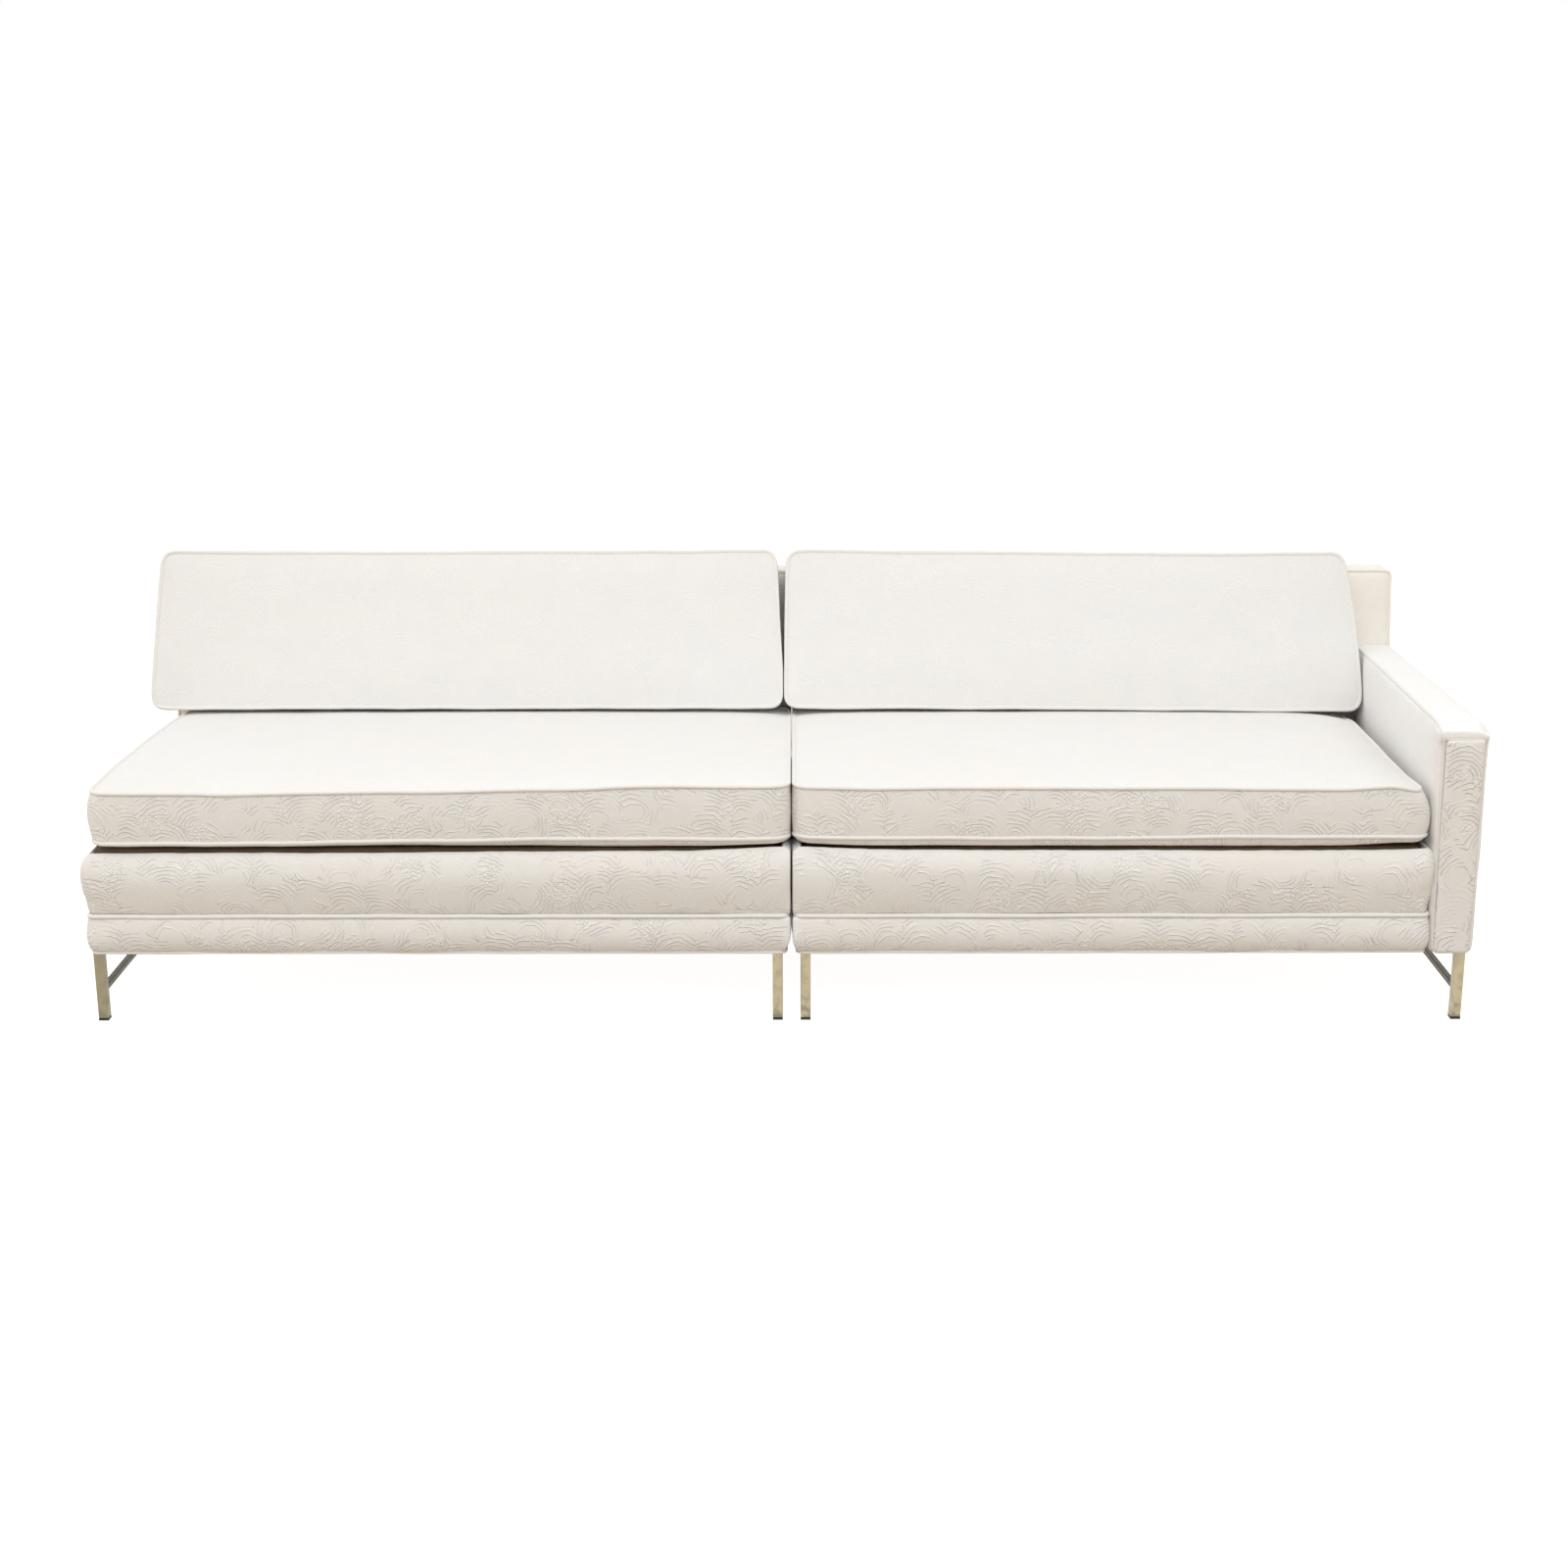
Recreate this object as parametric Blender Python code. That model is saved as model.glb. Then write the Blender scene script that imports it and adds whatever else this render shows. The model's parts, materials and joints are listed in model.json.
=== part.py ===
"""Two-unit sectional sofa: an armless unit and a right-arm unit that stand side by side.

Metres, +Z up, the front faces -Y. Each unit is a box of wooden rails on square brass legs,
with sinuous springs, a padded band, a raked back frame and two loose cushions.
"""

import math

import bmesh
import bpy
from mathutils import Matrix, Vector
from mathutils.bvhtree import BVHTree

# Clearances and helpers for cuts
GAP = 0.0003
OVERRUN = 0.02

# The two units
ARMLESS_WIDTH = 1.264
ARM_UNIT_WIDTH = 1.212
PLATFORM_DEPTH = 0.708
FLOOR_CLEARANCE = 0.132
WELT_HEIGHT = 0.2035
DECK_TOP = 0.325

# Wooden seat rails
RAIL_THICKNESS = 0.022
RAIL_TOP = 0.290
RAIL_EDGE_ROUND = 0.002

# Padded bands around the rails, measured outwards from the rails' outer faces
BAND_PADDING = 0.020
BAND_BOTTOM_PADDING = 0.0125
BAND_SHOULDER = 0.024
BORDER_PADDING = 0.0195
BORDER_BOTTOM_PADDING = 0.0115
BORDER_TOP_PADDING = 0.0145
BAND_SWELL_SHARES = (0, 0.35, 0.7, 1)
BAND_SHOULDER_STEPS = 4
BORDER_WIDEST_SHARE = 0.6
BORDER_SWELL_SHARES = ((0.12, 0.55), (0.4, 0.95), (BORDER_WIDEST_SHARE, 1), (0.85, 0.8))
WELT_RADIUS = 0.0045
WELT_STAND_OFF = 0.0125
WELT_SIDES = 8
CORNER_STEPS = 5

# Under the seat
DUST_COVER_THICKNESS = 0.001
SPRING_WIRE = 0.0038
SPRING_WIDTH = 0.056
SPRING_RUN_PITCH = 0.036
SPRING_BEND_SHARE = 0.55
SPRING_END_SHARE = 0.1
SPRING_SPACING = 0.145
SPRING_DROP = 0.006
LEAST_SPRINGS = 2
LEAST_SPRING_RUNS = 3
MITRE_LIMIT_SHARE = 0.5
TIE_WIRE = 0.0030
TIE_PLACES_SHARES = (0.33, 0.66)

# Legs, stretchers and glides
LEG_SIZE = 0.018
LEG_WALL = 0.0015
LEG_EDGE_ROUND = 0.0010
LEG_PLATE_SIZE = 0.046
LEG_PLATE_THICKNESS = 0.003
LEG_PLATE_SETBACK = 0.0006
LEG_INSET_OUTER = 0.006
LEG_INSET_ARM = 0.002
LEG_INSET_INNER = 0.016
LEG_INSET_FRONT = 0.022
LEG_INSET_REAR = 0.014
STRETCHER_SIZE = 0.011
STRETCHER_HEIGHT = 0.056
STRETCHER_EDGE_ROUND = 0.0008
GLIDE_THICKNESS = 0.004
GLIDE_STEM_LENGTH = 0.012
GLIDE_STEM_PLAY = 0.0004

# Raked back frame
BACK_RAKE = math.radians(10)
BACK_TOP = 0.703
BACK_THICKNESS = 0.070
BACK_SIDE_SETBACK = 0.004
BACK_FRONT_PADDING = 0.016
BACK_REAR_PADDING = 0.021
BACK_TOP_PADDING = 0.012
BACK_SIDE_PADDING = 0.012
BACK_EDGE_ROUND = 0.009
BACK_ROUND_SEGMENTS = 3
POST_WIDTH = 0.045
BACK_RAIL_HEIGHT = 0.060

# Track arm
ARM_TOP = 0.558
ARM_TOP_THICKNESS = 0.076
ARM_BOTTOM_THICKNESS = 0.066
ARM_BOARD_THICKNESS = 0.030
ARM_OUTER_PADDING = 0.016
ARM_FRONT_PADDING = 0.024
ARM_TOP_PADDING = 0.026
ARM_REAR_PADDING = 0.010
ARM_EDGE_ROUND = 0.018
ARM_ROUND_SEGMENTS = 3
ROUND_PROFILE_SHARE = 0.5
ARM_PANEL_TOP = 0.527
ARM_PANEL_THICKNESS = 0.012
ARM_PANEL_EDGE_ROUND = 0.005
ARM_PANEL_ROUND_SEGMENTS = 2

# Seat cushions
SEAT_BOXING = 0.101
SEAT_CROWN = 0.012
SEAT_UNDER_CROWN = 0.0142
SEAT_SIDE_BULGE = 0.006
SEAT_DRAW_IN = 0.005
SEAT_CORNER_RADIUS = 0.024
SEAT_FRONT_SETBACK = 0.001
SEAT_REAR_PLAY = 0.0015
SEAT_INNER_SETBACK = 0.001
SEAT_OUTER_SETBACK = 0.015
SEAT_ARM_PLAY = 0.0055

# Back cushions
BACK_CUSHION_HEIGHT = 0.315
BACK_BOXING = 0.100
BACK_BOXING_TOP = 0.060
BACK_TOP_NARROWING = 0.026
BACK_CROWN = 0.016
BACK_REAR_CROWN = 0.006
BACK_SIDE_BULGE = 0.008
BACK_DRAW_IN = 0.005
BACK_CORNER_RADIUS = 0.020
BACK_OUTER_OVERHANG = 0.014
BACK_INNER_SETBACK = 0.014
BACK_INNER_OVERHANG = 0.007
BACK_ARM_PLAY = 0.0035
CUSHION_COLUMNS = 22
CUSHION_ROWS = 10
BOXING_ROWS = 4
CROWN_SHARE = 0.8
UNDER_CROWN_SHARE = 0.5
SEATING_STEP_SHARE = 0.025
SEATING_SHARE = 0.1

# Finishes: colour, roughness, metallic
FABRIC = ((0.80, 0.77, 0.70), 0.9, 0.0)
LINING = ((0.10, 0.09, 0.08), 0.95, 0.0)
WOOD = ((0.55, 0.38, 0.20), 0.6, 0.0)
BRASS = ((0.72, 0.62, 0.36), 0.3, 1.0)
STEEL = ((0.35, 0.35, 0.36), 0.4, 1.0)
BLACK_PLASTIC = ((0.02, 0.02, 0.02), 0.5, 0.0)

RAKE_SLOPE = math.tan(BACK_RAKE)
QUARTER_TURN = math.pi / 2
SMOOTH_ANGLE = math.radians(35)


def clear_scene():
    """Remove whatever the scene holds."""
    for item in list(bpy.data.objects):
        bpy.data.objects.remove(item, do_unlink=True)


def finish_material(name, finish):
    """A Principled material of the object's own."""
    colour, roughness, metallic = finish
    material = bpy.data.materials.new(name)
    material.use_nodes = True
    shader = material.node_tree.nodes["Principled BSDF"]
    shader.inputs["Base Color"].default_value = (*colour, 1)
    shader.inputs["Roughness"].default_value = roughness
    shader.inputs["Metallic"].default_value = metallic
    return material


def place(name, mesh, parent, location, finish, rotation=(0, 0, 0)):
    """Link a named object with its own material under a unit's empty."""
    item = bpy.data.objects.new(name, mesh)
    bpy.context.collection.objects.link(item)
    item.parent = parent
    item.location = location
    item.rotation_euler = rotation
    item.data.materials.append(finish_material(name, finish))
    return item


def empty(name, parent, location):
    """An empty that carries the pieces of one unit."""
    item = bpy.data.objects.new(name, None)
    bpy.context.collection.objects.link(item)
    item.parent = parent
    item.location = location
    return item


def mesh_from(name, shape, smooth=False):
    """Turn a bmesh into a mesh whose faces point out."""
    bmesh.ops.recalc_face_normals(shape, faces=shape.faces)
    mesh = bpy.data.meshes.new(name)
    shape.to_mesh(mesh)
    shape.free()
    if smooth:
        mesh.shade_smooth()
        mesh.set_sharp_from_angle(angle=SMOOTH_ANGLE)
    return mesh


def bevel(item, width, segments=1):
    """Round an object's sharp edges."""
    modifier = item.modifiers.new("edge_round", "BEVEL")
    modifier.width = width
    modifier.segments = segments
    modifier.limit_method = "ANGLE"
    modifier.angle_limit = SMOOTH_ANGLE
    return modifier


def cut(item, cutter, operation="DIFFERENCE"):
    """Cut or join one object by a hidden one."""
    cutter.hide_render = True
    cutter.display_type = "WIRE"
    modifier = item.modifiers.new(cutter.name, "BOOLEAN")
    modifier.operation = operation
    modifier.object = cutter
    modifier.solver = "EXACT"


def middle_of(low, high):
    return (Vector(low) + Vector(high)) / 2


def box_mesh(name, low, high):
    """A box centred on its own origin."""
    shape = bmesh.new()
    bmesh.ops.create_cube(shape, size=1)
    size = Vector(high) - Vector(low)
    bmesh.ops.scale(shape, vec=size, verts=shape.verts)
    return mesh_from(name, shape)


def box(name, parent, low, high, finish, edge_round=0):
    """A box between two corners of its unit, with rounded edges where asked."""
    item = place(name, box_mesh(name, low, high), parent, middle_of(low, high), finish)
    if edge_round:
        bevel(item, edge_round)
    return item


def raked_box(name, parent, low, high, finish, edge_round=0, segments=1):
    """A box sheared by the back's rake; its Y limits hold at the deck's height."""
    shape = bmesh.new()
    bmesh.ops.create_cube(shape, size=1)
    size = Vector(high) - Vector(low)
    centre = middle_of(low, high)
    bmesh.ops.scale(shape, vec=size, verts=shape.verts)
    for vertex in shape.verts:
        vertex.co.y += vertex.co.z * RAKE_SLOPE
    location = centre + Vector((0, (centre.z - DECK_TOP) * RAKE_SLOPE, 0))
    item = place(name, mesh_from(name, shape), parent, location, finish)
    if edge_round:
        bevel(item, edge_round, segments)
    return item


def rounded_loop(half_x, half_y, radius):
    """Corner points of a rounded rectangle, counter-clockwise from above."""
    points = []
    for turn, (side_x, side_y) in enumerate(((1, 1), (-1, 1), (-1, -1), (1, -1))):
        for step in range(CORNER_STEPS + 1):
            angle = QUARTER_TURN * (turn + step / CORNER_STEPS)
            x = side_x * (half_x - radius) + radius * math.cos(angle)
            y = side_y * (half_y - radius) + radius * math.sin(angle)
            points.append((x, y))
    return points


def ring_mesh(name, half_x, half_y, profile):
    """Sweep a closed profile of (stand-off, height) around a rounded rectangle."""
    shape = bmesh.new()
    loops = []
    for stand_off, height in profile:
        outline = rounded_loop(half_x + stand_off, half_y + stand_off, stand_off)
        loops.append([shape.verts.new((x, y, height)) for x, y in outline])
    count = len(loops[0])
    for first, second in zip(loops, loops[1:] + loops[:1]):
        for i in range(count):
            j = (i + 1) % count
            shape.faces.new((first[i], first[j], second[j], second[i]))
    return mesh_from(name, shape, smooth=True)


def rail_frame(unit):
    """Outer faces of the seat rails: left, right, front and rear."""
    left = -unit["platform_width"] / 2 + BAND_PADDING
    return left, -left, BAND_PADDING, PLATFORM_DEPTH - BAND_PADDING


def make_rails(unit):
    """Front and rear rails run the full width, side rails fit between them."""
    prefix, parent = unit["prefix"], unit["empty"]
    left, right, front, rear = rail_frame(unit)
    bottom = FLOOR_CLEARANCE + DUST_COVER_THICKNESS + GAP
    inner_front = front + RAIL_THICKNESS
    inner_rear = rear - RAIL_THICKNESS
    spans = {
        "front_rail": ((left, front), (right, inner_front)),
        "rear_rail": ((left, inner_rear), (right, rear)),
        "left_side_rail": ((left, inner_front + GAP), (left + RAIL_THICKNESS, inner_rear - GAP)),
        "right_side_rail": ((right - RAIL_THICKNESS, inner_front + GAP), (right, inner_rear - GAP)),
    }
    for name, (low, high) in spans.items():
        box(prefix + name, parent, (*low, bottom), (*high, RAIL_TOP), WOOD, RAIL_EDGE_ROUND)


def make_dust_cover(unit):
    """Thin cloth stapled under the rails."""
    left, right, front, rear = rail_frame(unit)
    low = (left, front, FLOOR_CLEARANCE)
    high = (right, rear, FLOOR_CLEARANCE + DUST_COVER_THICKNESS)
    box(unit["prefix"] + "dust_cover", unit["empty"], low, high, LINING)


def make_deck_pad(unit):
    """Pad over the springs, from the front rail to the back frame."""
    left, right, front, _ = rail_frame(unit)
    rear = PLATFORM_DEPTH - BACK_THICKNESS - GAP
    bottom = RAIL_TOP + GAP
    rear -= (DECK_TOP - bottom) * RAKE_SLOPE
    low = (left, front, bottom)
    box(unit["prefix"] + "deck_pad", unit["empty"], low, (right, rear, DECK_TOP), FABRIC)


def ring_half_sizes(unit):
    left, right, front, rear = rail_frame(unit)
    return (right - left) / 2, (rear - front) / 2


def place_ring(unit, name, profile, finish):
    half_x, half_y = ring_half_sizes(unit)
    mesh = ring_mesh(unit["prefix"] + name, half_x, half_y, profile)
    place(unit["prefix"] + name, mesh, unit["empty"], (0, PLATFORM_DEPTH / 2, 0), finish)


def band_profile():
    """Upper band: straight against the rails, swelling upwards to a rolled shoulder."""
    low = WELT_HEIGHT + WELT_RADIUS + GAP
    shoulder_low = DECK_TOP - BAND_SHOULDER
    points = [(GAP, low)]
    for share in BAND_SWELL_SHARES:
        swell = (BAND_PADDING - BAND_BOTTOM_PADDING) * math.sin(share * QUARTER_TURN)
        points.append((BAND_BOTTOM_PADDING + swell, low + share * (shoulder_low - low)))
    for step in range(1, BAND_SHOULDER_STEPS + 1):
        angle = QUARTER_TURN * step / BAND_SHOULDER_STEPS
        out = GAP + (BAND_PADDING - GAP) * math.cos(angle)
        points.append((out, shoulder_low + BAND_SHOULDER * math.sin(angle)))
    return points


def border_profile():
    """Lower border: a shallow padded band, drawn in at its lower edge."""
    low = FLOOR_CLEARANCE
    high = WELT_HEIGHT - WELT_RADIUS - GAP
    tall = high - low
    points = [(GAP, low), (BORDER_BOTTOM_PADDING, low)]
    for height_share, out_share in BORDER_SWELL_SHARES:
        edge = BORDER_BOTTOM_PADDING if height_share < BORDER_WIDEST_SHARE else BORDER_TOP_PADDING
        points.append((edge + (BORDER_PADDING - edge) * out_share, low + tall * height_share))
    points += [(BORDER_TOP_PADDING, high), (GAP, high)]
    return points


def welt_profile():
    """Round cord between the two bands."""
    points = []
    for side in range(WELT_SIDES):
        angle = 2 * math.pi * side / WELT_SIDES
        out = WELT_STAND_OFF + WELT_RADIUS * math.cos(angle)
        points.append((out, WELT_HEIGHT + WELT_RADIUS * math.sin(angle)))
    return points


def make_bands(unit):
    place_ring(unit, "seat_band", band_profile(), FABRIC)
    place_ring(unit, "base_border", border_profile(), FABRIC)
    place_ring(unit, "base_welt", welt_profile(), FABRIC)


def sinuous_points(length, width):
    """Centre line of one zigzag spring from front to rear, its bends at both sides."""
    runs = max(LEAST_SPRING_RUNS, round(length / SPRING_RUN_PITCH))
    pitch = length / runs
    stub = pitch * SPRING_END_SHARE
    points = [(0, 0, 0), (0, stub, 0)]
    side = 1
    for run in range(runs):
        middle = pitch * (run + 1 / 2)
        reach = pitch * SPRING_BEND_SHARE / 2
        points.append((side * width / 2, middle - reach, 0))
        points.append((side * width / 2, middle + reach, 0))
        side = -side
    points += [(0, length - stub, 0), (0, length, 0)]
    return points


def make_springs(unit):
    """Zigzag springs between the front and rear rails, held together by cross ties."""
    name = unit["prefix"] + "seat_springs"
    left, right, front, rear = rail_frame(unit)
    start = front + RAIL_THICKNESS + GAP
    length = rear - RAIL_THICKNESS - GAP - start
    inner_width = right - left - 2 * RAIL_THICKNESS
    count = max(LEAST_SPRINGS, int(inner_width / SPRING_SPACING))
    height = RAIL_TOP - SPRING_DROP
    origin = Vector((0, start, height))
    xs = [SPRING_SPACING * (i - (count - 1) / 2) for i in range(count)]
    shape = bmesh.new()
    for x in xs:
        points = [(px + x, py, pz) for px, py, pz in sinuous_points(length, SPRING_WIDTH)]
        add_wire(shape, points, SPRING_WIRE / 2)
    springs = place(name, mesh_from(name, shape), unit["empty"], origin, STEEL)
    reach = (xs[-1] - xs[0]) / 2 + SPRING_WIDTH / 2 + SPRING_WIRE
    ties = bmesh.new()
    for share in TIE_PLACES_SHARES:
        add_wire(ties, [(-reach, length * share, 0), (reach, length * share, 0)], TIE_WIRE / 2)
    tie_item = place(name + "_ties", mesh_from(name + "_ties", ties), unit["empty"], origin, STEEL)
    cut(springs, tie_item, "UNION")


def add_wire(shape, points, radius):
    """Sweep a square section along flat points, with mitred corners and closed ends."""
    points = [Vector(p) for p in points]
    rings = []
    for i, point in enumerate(points):
        before = (point - points[i - 1]).normalized() if i else None
        after = (points[i + 1] - point).normalized() if i + 1 < len(points) else None
        along = (before or after) + (after or before)
        along.normalize()
        side = Vector((along.y, -along.x, 0))
        straight = after or before
        stretch = 1 / max(MITRE_LIMIT_SHARE, side.dot(Vector((straight.y, -straight.x, 0))))
        up = Vector((0, 0, 1))
        corners = (side * stretch, up, -side * stretch, -up)
        rings.append([shape.verts.new(point + corner * radius) for corner in corners])
    for first, second in zip(rings, rings[1:]):
        for i in range(len(first)):
            j = (i + 1) % len(first)
            shape.faces.new((first[i], first[j], second[j], second[i]))
    shape.faces.new(rings[0])
    shape.faces.new(rings[-1])


def leg_mesh(name):
    """Square tube, open below, under a mounting plate that reaches inwards from its corner."""
    top = FLOOR_CLEARANCE - GAP
    low = (-LEG_SIZE / 2, -LEG_SIZE / 2, GLIDE_THICKNESS + GAP)
    high = (LEG_SIZE / 2, LEG_SIZE / 2, top)
    tube = box(name + "_blank", None, low, high, BRASS, LEG_EDGE_ROUND)
    start = LEG_EDGE_ROUND + LEG_PLATE_SETBACK - LEG_SIZE / 2
    plate_low = (start, start, top - LEG_PLATE_THICKNESS)
    plate_high = (start + LEG_PLATE_SIZE, start + LEG_PLATE_SIZE, top)
    plate = box(name + "_plate", None, plate_low, plate_high, BRASS)
    inner = LEG_SIZE / 2 - LEG_WALL
    bore_low = (-inner, -inner, -OVERRUN)
    bore_high = (inner, inner, top - LEG_PLATE_THICKNESS)
    bore = box(name + "_bore", None, bore_low, bore_high, BRASS)
    cut(tube, plate, "UNION")
    cut(tube, bore)
    bpy.context.view_layer.update()
    evaluated = tube.evaluated_get(bpy.context.evaluated_depsgraph_get())
    mesh = bpy.data.meshes.new_from_object(evaluated)
    mesh.transform(Matrix.Translation(tube.location))
    for item in (tube, plate, bore):
        bpy.data.objects.remove(item, do_unlink=True)
    return mesh


def glide_mesh(name):
    """Foot plate with a stem that plugs into the leg."""
    shape = bmesh.new()
    half = LEG_SIZE / 2
    bmesh.ops.create_cube(shape, size=1)
    bmesh.ops.scale(shape, vec=(LEG_SIZE, LEG_SIZE, GLIDE_THICKNESS), verts=shape.verts)
    bmesh.ops.translate(shape, vec=(0, 0, GLIDE_THICKNESS / 2), verts=shape.verts)
    top = max(shape.faces, key=lambda face: face.calc_center_median().z)
    stem_half = half - LEG_WALL - GLIDE_STEM_PLAY
    bmesh.ops.inset_region(shape, faces=[top], thickness=half - stem_half, use_even_offset=True)
    raised = bmesh.ops.extrude_face_region(shape, geom=[top])
    verts = [v for v in raised["geom"] if isinstance(v, bmesh.types.BMVert)]
    bmesh.ops.translate(shape, vec=(0, 0, GLIDE_STEM_LENGTH), verts=verts)
    bmesh.ops.delete(shape, geom=[top], context="FACES_ONLY")
    return mesh_from(name, shape)


def leg_centres(unit):
    """Leg centres in the unit: left and right by front and rear."""
    half = LEG_SIZE / 2
    left = unit["left"] + unit["left_leg_inset"] + half
    right = unit["right"] - unit["right_leg_inset"] - half
    front = LEG_INSET_FRONT + half
    rear = PLATFORM_DEPTH - LEG_INSET_REAR - half
    return left, right, front, rear


def make_legs(unit):
    """Four legs with their glides, and a stretcher between each front and rear leg."""
    prefix, parent = unit["prefix"], unit["empty"]
    left, right, front, rear = leg_centres(unit)
    places = (
        ("front_left", left, front),
        ("front_right", right, front),
        ("rear_right", right, rear),
        ("rear_left", left, rear),
    )
    for quarter, (where, x, y) in enumerate(places):
        turn = (0, 0, quarter * QUARTER_TURN)
        place(prefix + "leg_" + where, leg_mesh(prefix + where), parent, (x, y, 0), BRASS, turn)
        glide = glide_mesh(prefix + where + "_glide")
        place(prefix + "glide_" + where, glide, parent, (x, y, 0), BLACK_PLASTIC)
    half = STRETCHER_SIZE / 2
    start = front + LEG_SIZE / 2 + GAP
    end = rear - LEG_SIZE / 2 - GAP
    for side, x in (("left", left), ("right", right)):
        low = (x - half, start, STRETCHER_HEIGHT - half)
        high = (x + half, end, STRETCHER_HEIGHT + half)
        box(prefix + "stretcher_" + side, parent, low, high, BRASS, STRETCHER_EDGE_ROUND)


def back_front_at(height):
    """How far back the back frame's front face stands at a height."""
    return PLATFORM_DEPTH - BACK_THICKNESS + (height - DECK_TOP) * RAKE_SLOPE


def make_back(unit):
    """Raked frame of posts and rails inside a padded cover that is open below."""
    prefix, parent = unit["prefix"], unit["empty"]
    front = PLATFORM_DEPTH - BACK_THICKNESS
    low_x = unit["left"] + BACK_SIDE_SETBACK
    high_x = unit["right"] - BACK_SIDE_SETBACK
    base = DECK_TOP + GAP
    low = (low_x, front, base)
    high = (high_x, PLATFORM_DEPTH, BACK_TOP)
    cover = raked_box(prefix + "back_cover", parent, low, high, FABRIC, BACK_EDGE_ROUND, BACK_ROUND_SEGMENTS)
    hollow_front = front + BACK_FRONT_PADDING
    hollow_rear = PLATFORM_DEPTH - BACK_REAR_PADDING
    hollow_left = low_x + BACK_SIDE_PADDING
    hollow_right = high_x - BACK_SIDE_PADDING
    hollow_top = BACK_TOP - BACK_TOP_PADDING
    hollow_low = (hollow_left, hollow_front, base - OVERRUN)
    hollow_high = (hollow_right, hollow_rear, hollow_top)
    cut(cover, raked_box(prefix + "back_hollow", parent, hollow_low, hollow_high, LINING))
    frame_front = hollow_front + GAP
    frame_rear = hollow_rear - GAP
    post_left, post_right, _, _ = rail_frame(unit)
    foot = RAIL_TOP + GAP
    top_rail_low = hollow_top - BACK_RAIL_HEIGHT
    spans = {
        "back_top_rail": (hollow_left + GAP, hollow_right - GAP, top_rail_low, hollow_top - GAP),
        "back_left_post": (post_left, post_left + POST_WIDTH, foot, top_rail_low - GAP),
        "back_right_post": (post_right - POST_WIDTH, post_right, foot, top_rail_low - GAP),
        "back_bottom_rail": (
            post_left + POST_WIDTH + GAP,
            post_right - POST_WIDTH - GAP,
            foot,
            foot + BACK_RAIL_HEIGHT,
        ),
    }
    for name, (x0, x1, z0, z1) in spans.items():
        raked_box(prefix + name, parent, (x0, frame_front, z0), (x1, frame_rear, z1), WOOD)


def arm_side_outline(front, rear, bottom, top, inset):
    """Side view of the arm as (y, z): upright front, flat top, raked rear and a low shelf."""
    shelf = DECK_TOP - inset
    rear_low = back_front_at(DECK_TOP) - inset - GAP
    rear_high = back_front_at(top) - inset - GAP
    return [(front, bottom), (front, top), (rear_high, top), (rear_low, shelf), (rear, shelf), (rear, bottom)]


def round_upper_edges(shape, radius):
    """Round the outward edges above the deck and the upright ones, and leave the foot sharp."""
    shape.normal_update()
    edges = []
    for edge in shape.edges:
        first, second = (vertex.co for vertex in edge.verts)
        upright = abs(first.z - second.z) > max(abs(first.x - second.x), abs(first.y - second.y))
        if edge.is_convex and (upright or max(first.z, second.z) > DECK_TOP + GAP):
            edges.append(edge)
    bmesh.ops.bevel(
        shape,
        geom=edges,
        offset=radius,
        segments=ARM_ROUND_SEGMENTS,
        profile=ROUND_PROFILE_SHARE,
        affect="EDGES",
    )


def prism_along_x(name, outline, left_of, right, edge_round=0):
    """Extrude a (y, z) outline from a left face that may lean, given by height, to the right face."""
    shape = bmesh.new()
    near = [shape.verts.new((left_of(z), y, z)) for y, z in outline]
    far = [shape.verts.new((right, y, z)) for y, z in outline]
    shape.faces.new(near)
    shape.faces.new(far)
    for i in range(len(outline)):
        j = (i + 1) % len(outline)
        shape.faces.new((near[i], near[j], far[j], far[i]))
    bmesh.ops.recalc_face_normals(shape, faces=shape.faces)
    if edge_round:
        round_upper_edges(shape, edge_round)
    return mesh_from(name, shape, smooth=bool(edge_round))


def arm_thickness(height):
    """The arm is thicker at its top than at its foot."""
    share = (height - FLOOR_CLEARANCE) / (ARM_TOP - FLOOR_CLEARANCE)
    return ARM_BOTTOM_THICKNESS + (ARM_TOP_THICKNESS - ARM_BOTTOM_THICKNESS) * share


def arm_inner_face(unit, height):
    return unit["right"] - arm_thickness(height)


def make_arm(unit):
    """Wooden board in a padded cover, with a separate front panel let into the cover."""
    prefix, parent = unit["prefix"], unit["empty"]
    right = unit["right"]
    outline = arm_side_outline(0, PLATFORM_DEPTH, FLOOR_CLEARANCE, ARM_TOP, 0)
    mesh = prism_along_x(
        prefix + "arm_cover", outline, lambda z: arm_inner_face(unit, z), right, ARM_EDGE_ROUND
    )
    cover = place(prefix + "arm_cover", mesh, parent, (0, 0, 0), FABRIC)
    board_right = right - ARM_OUTER_PADDING
    board_left = board_right - ARM_BOARD_THICKNESS
    board_front = ARM_FRONT_PADDING
    board_rear = PLATFORM_DEPTH - ARM_REAR_PADDING
    board_top = ARM_TOP - ARM_TOP_PADDING
    pocket = arm_side_outline(board_front, board_rear, FLOOR_CLEARANCE - OVERRUN, board_top, ARM_REAR_PADDING)
    mesh = prism_along_x(prefix + "arm_pocket", pocket, lambda z: board_left - GAP, board_right + GAP)
    cut(cover, place(prefix + "arm_pocket", mesh, parent, (0, 0, 0), LINING))
    board = arm_side_outline(
        board_front + GAP, board_rear - GAP, FLOOR_CLEARANCE, board_top - GAP, ARM_REAR_PADDING + GAP
    )
    mesh = prism_along_x(prefix + "arm_board", board, lambda z: board_left, board_right)
    place(prefix + "arm_board", mesh, parent, (0, 0, 0), WOOD)
    make_arm_panel(unit, cover)


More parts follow.
